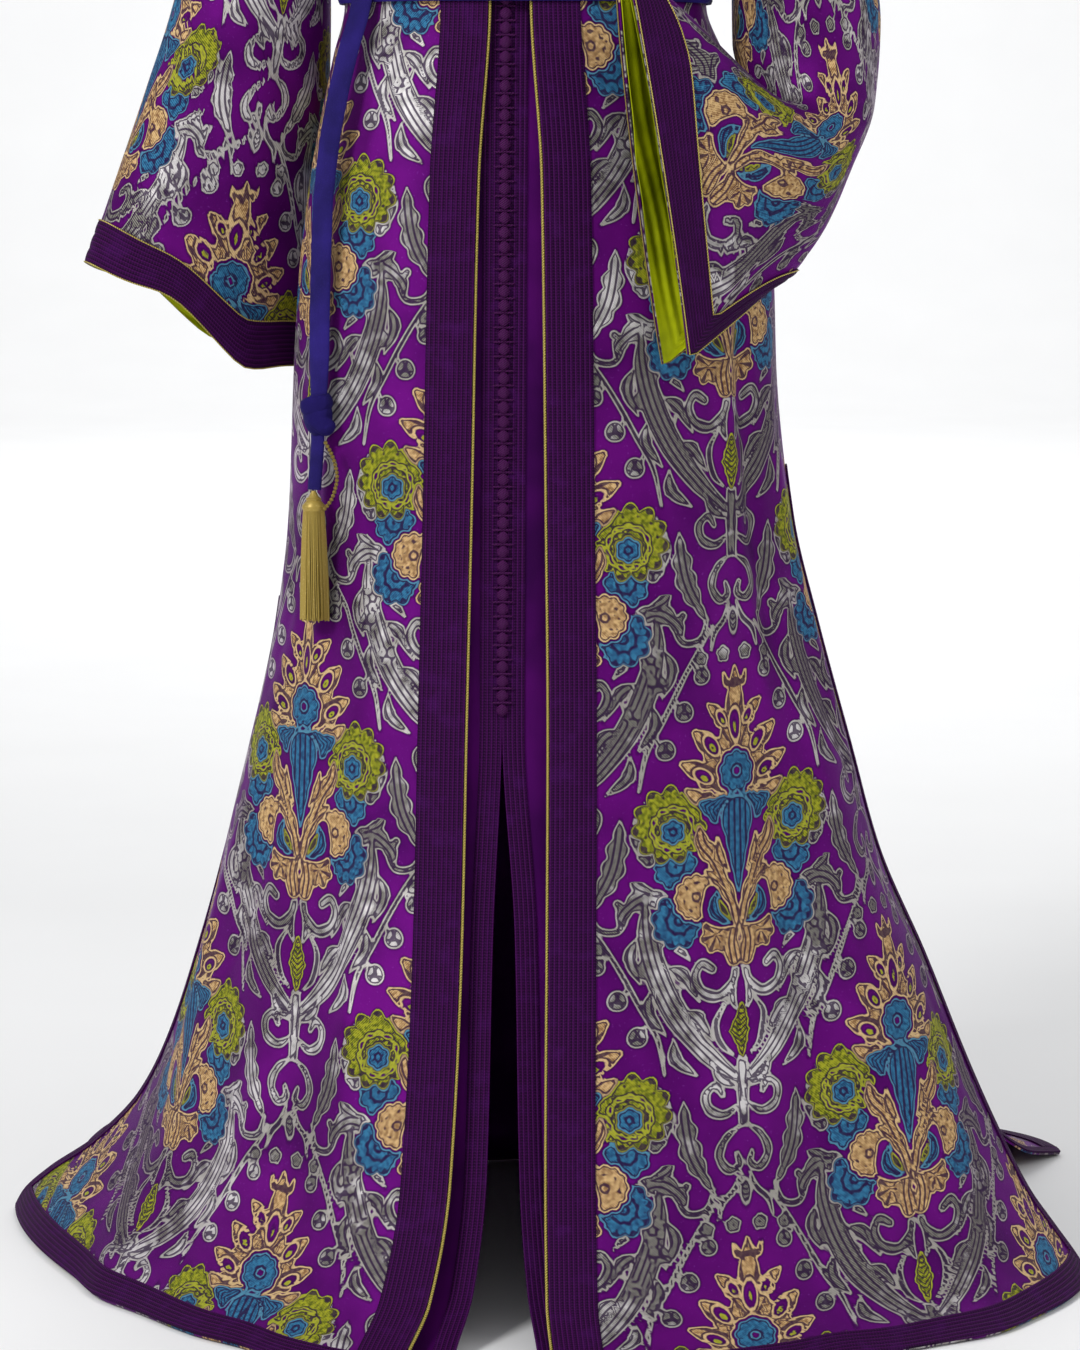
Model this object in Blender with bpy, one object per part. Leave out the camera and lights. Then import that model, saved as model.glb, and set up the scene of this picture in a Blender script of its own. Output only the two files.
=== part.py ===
"""A two-layer kaftan, worn: an open brocade coat with bell sleeves over a buttoned underdress, held by a belt.

Frame: metres, +Z up, the front faces -Y. The origin is the base of the neck, where the shoulders carry it.
Each piece of cloth is a thin wall laid on a grid of points: rows run from the shoulder to the hem, columns
from the centre front to the side. What is sewn on a panel is laid on the same points, moved out.
"""

import math

import bmesh
import bpy
import numpy as np

# Driving sizes. Heights in the tables are above the floor that the hem brushes.
SHOULDER_HEIGHT = 1.43
UNDERARM = 1.17
HEM_RISE = 0.003
SHOULDER_SLOPE = 0.35
SHOULDER_ROUND = 0.09
SHOULDER_X = 0.175
COAT_NECK_X = 0.0875
UNDER_NECK_X = 0.070
BACK_NECK_DROP = 0.020
UNDER_FRONT_NECK_DROP = 0.065
UNDER_BACK_NECK_DROP = 0.008

# Cloth, and the clearance that neighbouring pieces keep.
COAT_THICK = 0.0016
UNDER_THICK = 0.0012
BAND_THICK = 0.0012
LINING_THICK = 0.0010
SEAM = 0.0003
SHOULDER_DROP = (COAT_THICK + SEAM) * math.hypot(1, SHOULDER_SLOPE)
UNDER_NECK_SINK = 0.007

# Trimmings.
FRONT_BAND = 0.038
SLIT_BAND = 0.018
HEM_BAND = 0.026
CUFF_BAND = 0.038
PLACKET = 0.018
PIPING = 0.0025
LINING_DEPTH = 0.110
BUTTON_PITCH = 0.0117
BUTTON_WIDTH = 0.009
BUTTON_RISE = 0.0040
STRIP_RISE = 0.0010
BELT_TOP = 1.100
BELT_FOOT = 1.043
BELT_THICK = 0.0025
SLIT_TOP_LEFT = 0.55
SLIT_TOP_RIGHT = 0.66
UNDER_SLIT_TOP = 0.46

# How fine the walls are.
ARM_STEPS = 10
FRONT_COLUMNS = 9
BACK_COLUMNS = 18
UNDER_COLUMNS = 6
UNDER_BACK_COLUMNS = 11
SLEEVE_ROWS = 11
CURVE_SAMPLES = 161
COAT_HEIGHTS = (
    1.17, 1.10, 1.0715, 1.043, 0.98, 0.90, 0.82, 0.74, 0.66, 0.605, 0.55, 0.49,
    0.43, 0.37, 0.31, 0.25, 0.19, 0.135, 0.09, 0.055, 0.030,
)
UNDER_HEIGHTS = (
    1.17, 1.10, 1.043, 0.97, 0.88, 0.78, 0.68, 0.57, 0.46, 0.38, 0.29, 0.20, 0.12,
    0.06, 0.025, HEM_RISE,
)


def smooth_through(places, values, wanted):
    """A smooth curve through the values at the places, which never swings past them."""
    run = np.diff(places)
    rise = np.diff(values) / run
    inner = np.zeros(len(rise) - 1)
    same = rise[:-1] * rise[1:] > 0
    inner[same] = 2 * rise[:-1][same] * rise[1:][same] / (rise[:-1][same] + rise[1:][same])
    slope = np.concatenate([rise[:1], inner, rise[-1:]])
    step = np.clip(np.searchsorted(places, wanted, side="right") - 1, 0, len(run) - 1)
    t = np.clip((wanted - places[step]) / run[step], 0, 1)
    start = values[step] * (1 + 2 * t) * (1 - t) ** 2 + slope[step] * run[step] * t * (1 - t) ** 2
    end = values[step + 1] * t * t * (3 - 2 * t) - slope[step + 1] * run[step] * t * t * (1 - t)
    return start + end


class Table:
    """Rows of named columns, read smoothly by height."""

    def __init__(self, names, *rows):
        self.columns = dict(zip(names.split(), np.array(rows, float).T))

    def at(self, name, height):
        return smooth_through(self.columns["height"], self.columns[name], np.asarray(height, float))


# The coat's outline at each height: how far it reaches to the viewer's left and right, to the front and back.
BODY = Table(
    "height left right front back",
    (0.000, 0.450, 0.466, -0.442, 0.450),
    (0.016, 0.441, 0.456, -0.398, 0.395),
    (0.037, 0.418, 0.440, -0.367, 0.365),
    (0.064, 0.379, 0.420, -0.345, 0.343),
    (0.108, 0.337, 0.397, -0.316, 0.318),
    (0.161, 0.310, 0.373, -0.287, 0.293),
    (0.250, 0.280, 0.337, -0.248, 0.262),
    (0.337, 0.255, 0.299, -0.218, 0.237),
    (0.424, 0.232, 0.275, -0.192, 0.215),
    (0.528, 0.209, 0.2465, -0.168, 0.195),
    (0.617, 0.199, 0.225, -0.154, 0.180),
    (0.740, 0.195, 0.211, -0.143, 0.164),
    (0.820, 0.190, 0.208, -0.138, 0.152),
    (0.900, 0.180, 0.196, -0.133, 0.138),
    (1.000, 0.160, 0.166, -0.122, 0.110),
    (1.043, 0.150, 0.150, -0.118, 0.098),
    (1.100, 0.150, 0.150, -0.117, 0.094),
    (1.170, 0.175, 0.175, -0.126, 0.102),
    (1.240, 0.187, 0.187, -0.134, 0.110),
    (1.300, 0.193, 0.193, -0.127, 0.110),
    (1.430, 0.195, 0.195, -0.098, 0.088),
)
# How square the outline is between front and side, and where the front panels' side edges hang.
CURVE = Table(
    "height power_left power_right side_left side_right",
    (0.00, 1.50, 1.85, 0.050, -0.157),
    (0.10, 1.62, 1.85, 0.035, -0.105),
    (0.20, 1.75, 1.90, 0.022, -0.065),
    (0.40, 1.95, 2.00, 0.006, -0.015),
    (0.66, 2.15, 2.15, 0.000, 0.000),
    (1.43, 2.30, 2.30, 0.000, 0.000),
)
# How far the back panel's side edges stand off those of the fronts, below the slits' tops.
SPREAD = Table(
    "height left_x left_y right_x right_y",
    (0.00, -0.050, 0.170, 0.034, 0.387),
    (0.02, -0.036, 0.135, 0.000, 0.310),
    (0.05, -0.027, 0.100, -0.012, 0.270),
    (0.10, -0.021, 0.075, -0.017, 0.210),
    (0.20, -0.015, 0.050, -0.013, 0.132),
    (0.40, -0.006, 0.020, -0.005, 0.042),
    (0.55, 0.000, 0.000, -0.002, 0.015),
    (0.66, 0.000, 0.000, 0.000, 0.000),
)
# Where the coat's two front edges hang, and the underdress's, which part below its slit.
EDGES = Table(
    "height coat_left coat_right under_left under_right",
    (0.00, -0.1000, 0.0250, -0.0570, 0.0120),
    (0.04, -0.0753, 0.0190, -0.0400, 0.0020),
    (0.12, -0.0605, 0.0180, -0.0300, -0.0045),
    (0.30, -0.0521, 0.0192, -0.0255, -0.0085),
    (0.46, -0.0490, 0.0200, -0.0187, -0.0187),
    (0.63, -0.0451, 0.0185, -0.0180, -0.0180),
    (0.90, -0.0389, 0.0152, -0.0163, -0.0163),
    (1.05, -0.0296, 0.0064, -0.0152, -0.0152),
    (1.17, -0.0320, 0.0100, -0.0120, -0.0120),
    (1.30, -0.0440, 0.0300, -0.0070, -0.0070),
    (1.36, -0.0600, 0.0500, -0.0030, -0.0030),
    (1.43, -0.0875, 0.0875, 0.0000, 0.0000),
)
# How far the underdress hangs inside the coat.
UNDER_GAP = Table(
    "height side front back",
    (0.00, 0.150, 0.028, 0.240),
    (0.12, 0.090, 0.020, 0.110),
    (0.30, 0.050, 0.016, 0.060),
    (0.63, 0.016, 0.011, 0.022),
    (0.90, 0.010, 0.009, 0.012),
    (1.07, 0.006, 0.008, 0.006),
    (1.24, 0.005, 0.005, 0.005),
    (1.43, 0.003, 0.004, 0.004),
)
# The armhole's edge seen from the front.
ARMHOLE = Table(
    "height x",
    (1.1700, 0.175),
    (1.2050, 0.165),
    (1.2600, 0.156),
    (1.3200, 0.157),
    (1.3994, 0.175),
)
# The main folds: where each starts and ends, by the distance from the front edge and the height.
FOLDS = {
    "front_left": (
        # top_u, top_height, foot_u, foot_height, half_width, depth
        (0.105, 0.90, 0.150, 0.16, 0.034, -0.007),
        (0.180, 0.80, 0.330, 0.06, 0.040, 0.008),
    ),
    "front_right": (
        (0.100, 0.92, 0.105, 0.12, 0.040, 0.006),
        (0.165, 0.90, 0.225, 0.10, 0.032, -0.009),
        (0.200, 0.62, 0.370, 0.05, 0.040, 0.007),
    ),
}
BACK_FLUTES = Table(
    "height depth",
    (0.00, 0.022),
    (0.25, 0.016),
    (0.70, 0.006),
    (0.98, 0.000),
    (1.43, 0.000),
)
BACK_FLUTE_COUNT = 3
# Rings of the sleeves after the armhole. Outer is over the arm, inner is below it; front and back are how far
# the ring bows out between them, and the corners pull its lower part down, in front and behind.
SLEEVE_COLUMNS = "outer inner front back corner_front corner_back"
SLEEVES = {
    "left": (
        ((-0.238, 0.000, 1.300), (-0.183, 0.008, 1.130), 0.072, 0.064, (0, 0, 0), (0, 0, 0)),
        ((-0.263, 0.002, 1.190), (-0.167, 0.036, 1.060), 0.064, 0.058, (0, 0, 0), (0, 0, 0)),
        ((-0.287, 0.006, 1.060), (-0.171, 0.064, 0.975), 0.058, 0.052, (0, 0, 0), (0, 0, 0)),
        ((-0.316, 0.014, 0.975), (-0.182, 0.080, 0.890), 0.056, 0.050, (0, 0, 0), (0, 0, 0)),
        ((-0.345, 0.023, 0.898), (-0.184, 0.094, 0.812), 0.052, 0.048, (0, -0.004, -0.008), (0, 0, 0)),
        ((-0.3715, 0.030, 0.829), (-0.181, 0.103, 0.737), 0.048, 0.046, (0.004, -0.008, -0.030), (0, 0, -0.008)),
    ),
    "right": (
        ((0.240, 0.000, 1.300), (0.188, 0.000, 1.130), 0.070, 0.068, (0, 0, 0), (0, 0, 0)),
        ((0.272, 0.000, 1.150), (0.171, -0.004, 1.070), 0.068, 0.066, (0, 0, 0), (0, 0, 0)),
        ((0.294, -0.002, 1.030), (0.172, -0.016, 1.010), 0.064, 0.060, (0, 0, 0), (0, 0, 0)),
        ((0.286, -0.022, 0.962), (0.190, -0.045, 0.964), 0.060, 0.048, (0, 0, 0), (0, 0, 0)),
        ((0.264, -0.048, 0.908), (0.179, -0.080, 0.976), 0.054, 0.042, (0, 0, 0), (0, 0, 0)),
        ((0.242, -0.086, 0.860), (0.153, -0.120, 1.006), 0.046, 0.036, (0, 0, 0), (0, 0, 0)),
        ((0.217, -0.118, 0.826), (0.115, -0.158, 1.043), 0.036, 0.034, (0, 0, 0.010), (0, 0, 0.010)),
        ((0.192, -0.132, 0.812), (0.074, -0.195, 1.085), 0.016, 0.022, (-0.044, -0.044, -0.106), (-0.048, -0.014, -0.117)),
    ),
}
SLEEVE_CORNER = {"left": 0.57, "right": 0.2061}
CORNER_STEP = 3

# The belt's hanging end: the tie's route, then the knot, the tail and the tassel, all by height.
TIE_WIDTH = 0.020
TIE_DEPTH = 0.006
TIE_SIDES = 10
TIE_ROUTE = (
    (-0.1304, -0.0850, 1.0940),
    (-0.1304, -0.0850, 1.0700),
    (-0.1310, -0.0856, 1.0500),
    (-0.1352, -0.0900, 1.0300),
    (-0.1420, -0.0960, 1.0080),
    (-0.1500, -0.1000, 0.9750),
    (-0.1570, -0.1020, 0.9400),
    (-0.1610, -0.1030, 0.9110),
    (-0.1640, -0.1040, 0.8820),
    (-0.1657, -0.1050, 0.8410),
    (-0.1670, -0.1060, 0.8000),
    (-0.1676, -0.1070, 0.7680),
    (-0.1680, -0.1080, 0.7346),
)
KNOT_CENTRE = (-0.1690, -0.1120, 0.7100)
KNOT_SIZE = (0.036, 0.026, 0.044)
TAIL_TOP = (-0.1695, -0.1110, 0.6860)
TAIL_FOOT = (-0.1722, -0.1158, 0.6495)
TAIL_WIDTH = 0.013
TASSEL_TOP = (-0.1727, -0.1176, 0.6489)
TASSEL_HEAD = 0.016
TASSEL_LENGTH = 0.108
TASSEL_WIDTH = 0.025
TASSEL_CELLS = 6


def clear_scene():
    for thing in list(bpy.data.objects):
        bpy.data.objects.remove(thing, do_unlink=True)


def material(name, colour, roughness, metallic=0.0):
    made = bpy.data.materials.new(name)
    made.use_nodes = True
    shader = made.node_tree.nodes["Principled BSDF"]
    shader.inputs["Base Color"].default_value = (*colour, 1.0)
    shader.inputs["Roughness"].default_value = roughness
    shader.inputs["Metallic"].default_value = metallic
    made.diffuse_color = (*colour, 1.0)
    return made


def materials():
    return {
        "brocade": material("brocade", (0.155, 0.010, 0.262), 0.42),
        "band": material("band", (0.045, 0.004, 0.075), 0.55),
        "piping": material("piping", (0.520, 0.376, 0.156), 0.40, 0.6),
        "lining": material("lining", (0.366, 0.413, 0.008), 0.35),
        "satin": material("satin", (0.114, 0.004, 0.156), 0.38),
        "button": material("button", (0.060, 0.006, 0.100), 0.60),
        "navy": material("navy", (0.024, 0.014, 0.210), 0.60),
        "gold": material("gold", (0.402, 0.278, 0.045), 0.45, 0.4),
    }


def lengths(line):
    """Distance along a line of points, from its first one."""
    return np.concatenate([[0.0], np.cumsum(np.linalg.norm(np.diff(line, axis=0), axis=1))])


def read_line(line, places):
    """The points at the given distances along a line."""
    along = lengths(line)
    return np.stack([np.interp(places, along, line[:, axis]) for axis in range(3)], axis=1)


def panel_columns(total, first, last, count):
    """Distances of a row's points: the first and last trimmings have their own width, and the rest is even."""
    return np.concatenate([[0.0], np.linspace(first, total - last, count - 1), [total]])


def world(x, y, height):
    return np.stack([x, y, height - SHOULDER_HEIGHT], axis=-1)


def arm_steps():
    """Even steps round an armhole, from the shoulder to the underarm."""
    return (1 - np.cos(np.linspace(0, math.pi, ARM_STEPS + 1))) / 2


def ridge(x, inside):
    """Height of the shoulder line. The underdress touches the coat at the shoulders' ends and sinks to the neck."""
    outward = np.clip((np.abs(x) - UNDER_NECK_X) / (SHOULDER_X - UNDER_NECK_X), 0, 1)
    sunk = inside * (SHOULDER_DROP + UNDER_NECK_SINK * (1 - outward))
    return SHOULDER_HEIGHT - sunk - SHOULDER_SLOPE * np.maximum(np.abs(x) - COAT_NECK_X, 0)


class Layer:
    """One layer of the garment, the coat or the underdress, as a surface round the wearer."""

    def __init__(self, inside):
        self.inside = inside
        self.drop = inside * SHOULDER_DROP
        self.neck_x = UNDER_NECK_X if inside else COAT_NECK_X
        self.back_neck_drop = UNDER_BACK_NECK_DROP if inside else BACK_NECK_DROP
        self.shoulder_x = SHOULDER_X - self.drop
        self.edge = "under_" if inside else "coat_"

    def reach(self, side, height):
        """How far the layer reaches sideways."""
        return BODY.at(side, height) - self.inside * UNDER_GAP.at("side", height)

    def depth(self, face, height):
        gap = self.inside * UNDER_GAP.at(face, height)
        return BODY.at(face, height) + (gap if face == "front" else -gap)

    def armhole(self, height):
        return ARMHOLE.at("x", height + self.drop) - self.drop

    def side_y(self, side, height):
        return CURVE.at("side_" + side, height) * (1 - self.inside)

    def power(self, side, height):
        return CURVE.at("power_" + side, height)

    def bow(self, side, face, x, height, centre):
        """How far the bodice stands out at a place seen from the front or back."""
        sign = -1 if side == "left" else 1
        power = self.power(side, height)
        share = np.clip((x - centre) / (sign * self.reach(side, height) - centre), 0, 1)
        lens = (1 - share**power) ** (1 / power)
        below = np.clip((ridge(x, self.inside) - height) / SHOULDER_ROUND, 0, 1)
        return self.depth(face, height) * lens * np.sqrt(1 - (1 - below) ** 2)

    def top_height(self, x, face):
        """Height of the panel's upper edge: the shoulder seam and the neckline."""
        height = ridge(x, self.inside)
        if face == "front" and not self.inside:
            return height
        dip = UNDER_FRONT_NECK_DROP if face == "front" else self.back_neck_drop
        share = np.clip(np.abs(x) / self.neck_x, 0, 1)
        return height - dip * (1 - share**2) ** (1 if face == "front" else 2)

    def shares(self, side, height):
        angle = np.linspace(0, math.pi / 2, CURVE_SAMPLES)
        return np.sin(angle) ** (2 / self.power(side, height))

    def bodice_row(self, side, face, step):
        """One row between the shoulder and the underarm, from the centre to the armhole."""
        sign = -1 if side == "left" else 1
        share = self.shares(side, UNDERARM)
        start = sign * self.neck_x if face == "front" and not self.inside else 0.0
        top_x = start + (sign * self.shoulder_x - start) * share
        height = (1 - step) * self.top_height(top_x, face) + step * UNDERARM
        first = EDGES.at(self.edge + side, height[0]) if face == "front" else 0.0
        last = sign * self.armhole(height[-1])
        x = first + (last - first) * share
        middle = EDGES.at(self.edge + side, height) if face == "front" else 0.0 * height
        return world(x, self.bow(side, face, x, height, middle), height)

    def section_row(self, side, face, height):
        """One level row below the underarm, from the centre to the side edge."""
        sign = -1 if side == "left" else 1
        angle = np.linspace(0, math.pi / 2, CURVE_SAMPLES)
        power = self.power(side, height)
        first = EDGES.at(self.edge + side, height) if face == "front" else 0.0
        last = sign * self.reach(side, height)
        side_y = self.side_y(side, height)
        if face == "back" and not self.inside:
            last = last + sign * SPREAD.at(side + "_x", height)
            side_y = side_y + SPREAD.at(side + "_y", height)
            power = max(power, 2.0)
        x = first + (last - first) * np.sin(angle) ** (2 / power)
        y = side_y + (self.depth(face, height) - side_y) * np.cos(angle) ** (2 / power)
        return world(x, y, np.full_like(x, height))

    def rows(self, side, face, heights):
        lines = [self.bodice_row(side, face, step) for step in arm_steps()[:-1]]
        return lines + [self.section_row(side, face, height) for height in heights]


COAT = Layer(0)
UNDER = Layer(1)


def across_back(layer, heights):
    """Rows of a back panel, from the viewer's left side edge to the right one."""
    halves = [layer.rows(side, "back", heights) for side in ("left", "right")]
    return [np.concatenate([left[::-1], right[1:]]) for left, right in zip(*halves)]


def laid_out(lines, first, last, count):
    return np.array([read_line(line, panel_columns(lengths(line)[-1], first, last, count)) for line in lines])


def with_hem(build, heights, first, last, count):
    """A panel's grid, with a row at the upper edge of the hem band and one at the hem."""
    upper = laid_out(build(heights), first, last, count)
    low = np.linspace(HEM_RISE, heights[-1], 25)
    foot = laid_out(build(low)[ARM_STEPS:], first, last, count)
    band = np.array([read_line(foot[:, column], [HEM_BAND])[0] for column in range(count + 1)])
    return np.concatenate([upper, band[None], foot[:1]])


def normals_of(points, centre, ring=False):
    """Outward normals of a grid of points: the mean over the faces that meet at each."""
    closed = np.concatenate([points, points[:, :1]], axis=1) if ring else points
    falling = closed[1:, 1:] - closed[:-1, :-1]
    rising = closed[:-1, 1:] - closed[1:, :-1]
    face = np.cross(falling, rising)
    face /= np.linalg.norm(face, axis=2, keepdims=True)
    normal = np.zeros_like(closed)
    for rows in (slice(None, -1), slice(1, None)):
        for columns in (slice(None, -1), slice(1, None)):
            normal[rows, columns] += face
    if ring:
        normal[:, 0] += normal[:, -1]
        normal = normal[:, :-1]
    normal /= np.linalg.norm(normal, axis=2, keepdims=True)
    return normal if np.mean(np.sum(normal * (points - centre), axis=2)) > 0 else -normal


def fold_depth(name, points):
    """How far the named panel's folds move each point in or out."""
    height = points[:, :, 2] + SHOULDER_HEIGHT
    u = np.array([lengths(row) for row in points])
    share = u / u[:, -1:]
    moved = np.zeros_like(height)
    if name == "back":
        wave = np.cos(2 * math.pi * BACK_FLUTE_COUNT * share) - 1
        return BACK_FLUTES.at("depth", height) * wave / 2
    for top_u, top_height, foot_u, foot_height, half_width, depth in FOLDS[name]:
        run = np.clip((top_height - height) / (top_height - foot_height), 0, 1)
        line = top_u + (foot_u - top_u) * run
        moved += depth * np.sin(run * math.pi * 0.62) ** 1.5 * np.exp(-(((u - line) / half_width) ** 2))
    return moved * np.clip(u / FRONT_BAND - 1, 0, 1) * np.clip((1 - share) / 0.12, 0, 1)


def axis_of(points):
    return points * np.array([0.0, 0.0, 1.0])


def shoulder_normal(side_sign):
    normal = np.array([side_sign * SHOULDER_SLOPE, 0.0, 1.0])
    return normal / np.linalg.norm(normal)


class Cloth:
    """A panel's grid of points and its outward normals."""

    def __init__(self, points, normals):
        self.points = points
        self.normals = normals

    def part(self, rows, columns):
        return Cloth(self.points[rows, columns].copy(), self.normals[rows, columns].copy())

    def trimmed(self, top=0.0, foot=0.0, first=0.0, last=0.0):
        """The same cloth with its edges drawn back, which leaves a seam's clearance."""
        points = self.points.copy()
        points[0] += drawn(self.points[0], self.points[1], top)
        points[-1] += drawn(self.points[-1], self.points[-2], foot)
        points[:, 0] += drawn(self.points[:, 0], self.points[:, 1], first)
        points[:, -1] += drawn(self.points[:, -1], self.points[:, -2], last)
        return Cloth(points, self.normals)


def drawn(start, towards, distance):
    step = towards - start
    return step / np.linalg.norm(step, axis=1, keepdims=True) * distance


def grid_mesh(rows, columns, coordinates, ring):
    """A grid of triangles on the given points, each with its place in the grid kept."""
    mesh = bmesh.new()
    place = mesh.verts.layers.int.new("place")
    bmesh.ops.create_grid(mesh, x_segments=columns, y_segments=rows, size=0.5)
    mesh.verts.ensure_lookup_table()
    for number, (vertex, coordinate) in enumerate(zip(mesh.verts, coordinates)):
        vertex.co = coordinate
        vertex[place] = number
    if ring:
        seam = [vertex for vertex in mesh.verts if vertex[place] % (columns + 1) in (0, columns)]
        bmesh.ops.remove_doubles(mesh, verts=seam, dist=1e-7)
    bmesh.ops.triangulate(mesh, faces=mesh.faces[:], quad_method="FIXED")
    return mesh, place


def add_object(name, mesh, finish):
    bmesh.ops.recalc_face_normals(mesh, faces=mesh.faces[:])
    data = bpy.data.meshes.new(name)
    mesh.to_mesh(data)
    mesh.free()
    data.materials.append(finish)
    data.shade_smooth()
    data.set_sharp_from_angle(angle=math.radians(50))
    made = bpy.data.objects.new(name, data)
    bpy.context.scene.collection.objects.link(made)
    return made


def wall(name, cloth, finish, out, thickness, ring=False):
    """A closed wall on a piece of cloth: its outer face stands out by one distance, its inner face less."""
    points, normals = cloth.points, cloth.normals
    if ring:
        points = np.concatenate([points, points[:, :1]], axis=1)
        normals = np.concatenate([normals, normals[:, :1]], axis=1)
    rise = np.broadcast_to(out, points.shape[:2])[:, :, None]
    outer = (points + normals * rise).reshape(-1, 3)
    inner = (points + normals * (rise - np.broadcast_to(thickness, points.shape[:2])[:, :, None])).reshape(-1, 3)
    mesh, place = grid_mesh(points.shape[0] - 1, points.shape[1] - 1, outer, ring)
    grown = bmesh.ops.extrude_face_region(mesh, geom=mesh.faces[:], use_keep_orig=True)
    for item in grown["geom"]:
        if isinstance(item, bmesh.types.BMVert):
            item.co = inner[item[place]]
    return add_object(name, mesh, finish)


def on_top(name, cloth, finish, thickness=BAND_THICK):
    """A trimming sewn on the outer face of a panel."""
    return wall(name, cloth, finish, SEAM + thickness, thickness)


def coat_cloth():
    """The coat's three panels, their seams sharing points and normals."""
    panels = {}
    for side in ("left", "right"):
        points = with_hem(
            lambda heights, side=side: COAT.rows(side, "front", heights),
            COAT_HEIGHTS, FRONT_BAND, SLIT_BAND, FRONT_COLUMNS,
        )
        panels["front_" + side] = points
    panels["back"] = with_hem(
        lambda heights: across_back(COAT, heights), COAT_HEIGHTS, SLIT_BAND, SLIT_BAND, BACK_COLUMNS
    )
    cloth = {}
    for name, points in panels.items():
        level = normals_of(points, axis_of(points)) * np.array([1.0, 1.0, 0.0])
        level /= np.maximum(np.linalg.norm(level, axis=2, keepdims=True), 0.3)
        moved = points + level * fold_depth(name, points)[:, :, None]
        cloth[name] = Cloth(moved, normals_of(moved, axis_of(moved)))
    share_normals(cloth, "front_left", "front_right", "back", {"left": SLIT_TOP_LEFT, "right": SLIT_TOP_RIGHT})
    return cloth


def share_normals(cloth, front_left, front_right, back, seam_foot):
    """Sets one normal for both panels along the side seams and the shoulder seams."""
    for side, front, column in (("left", front_left, 0), ("right", front_right, -1)):
        heights = cloth[back].points[:, column, 2] + SHOULDER_HEIGHT
        rows = heights > seam_foot[side] - 1e-6
        both = cloth[front].normals[rows, -1] + cloth[back].normals[rows, column]
        both /= np.linalg.norm(both, axis=1, keepdims=True)
        cloth[front].normals[rows, -1] = both
        cloth[back].normals[rows, column] = both
    for name, panel in cloth.items():
        on_ridge = np.abs(panel.points[0, :, 1]) < 1e-5
        for column in np.flatnonzero(on_ridge):
            panel.normals[0, column] = shoulder_normal(np.sign(panel.points[0, column, 0]))


def under_cloth():
    """The underdress's three panels."""
    cloth = {}
    for side in ("left", "right"):
        points = laid_out(UNDER.rows(side, "front", UNDER_HEIGHTS), PLACKET, 0.02, UNDER_COLUMNS)
        cloth["under_" + side] = Cloth(points, normals_of(points, axis_of(points)))
    points = laid_out(across_back(UNDER, UNDER_HEIGHTS), 0.02, 0.02, UNDER_BACK_COLUMNS)
    cloth["under_back"] = Cloth(points, normals_of(points, axis_of(points)))
    share_normals(cloth, "under_left", "under_right", "under_back", {"left": 0.0, "right": 0.0})
    middle = cloth["under_left"].normals[:, 0] + cloth["under_right"].normals[:, 0]
    middle /= np.linalg.norm(middle, axis=1, keepdims=True)
    joined = cloth["under_left"].points[:, 0, 2] + SHOULDER_HEIGHT > UNDER_SLIT_TOP - 1e-6
    for side in ("left", "right"):
        cloth["under_" + side].normals[joined, 0] = middle[joined]
    return cloth


def ring_shares(side, towards_cuff):
    """How far across the arm a ring's points lie. The right sleeve's grow even, with a step at its cuff's corner."""
    angle = np.linspace(0, 2 * math.pi, 2 * ARM_STEPS, endpoint=False)
    share = (1 - np.cos(angle)) / 2
    if side == "left":
        return share
    step = ARM_STEPS - np.abs(ARM_STEPS - np.arange(2 * ARM_STEPS))
    even = np.interp(step, (0, CORNER_STEP, ARM_STEPS), (0, SLEEVE_CORNER[side], 1))
    return share + (even - share) * towards_cuff


def ring_points(side, row, towards_cuff):
    """One ring of a sleeve: down the front from the outer to the inner point, and back up behind."""
    values = dict(zip(SLEEVE_COLUMNS.split(), row))
    outer, inner = np.array(values["outer"]), np.array(values["inner"])
    share = ring_shares(side, towards_cuff)
    angle = np.arccos(1 - 2 * share)
    angle[ARM_STEPS + 1 :] = 2 * math.pi - angle[ARM_STEPS + 1 :]
    run = inner - outer
    facing = np.array([run[1], -run[0], 0.0])
    facing *= -np.sign(facing[1]) / np.linalg.norm(facing)
    bow = np.where(angle <= math.pi, values["front"], values["back"]) * np.sin(angle)
    corner = SLEEVE_CORNER[side]
    tent = np.minimum(share / corner, (1 - share) / (1 - corner))
    pull = np.where((angle <= math.pi)[:, None], values["corner_front"], values["corner_back"])
    points = outer + run * share[:, None] + facing * bow[:, None] + pull * tent[:, None]
    return points - np.array([0.0, 0.0, SHOULDER_HEIGHT])


def round_armhole(side, front, back):
    """One value for each point round an armhole, down the front and up the back."""
    column = 0 if side == "left" else -1
    return np.concatenate([front[: ARM_STEPS + 1, -1], back[ARM_STEPS - 1 : 0 : -1, column]])


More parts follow.
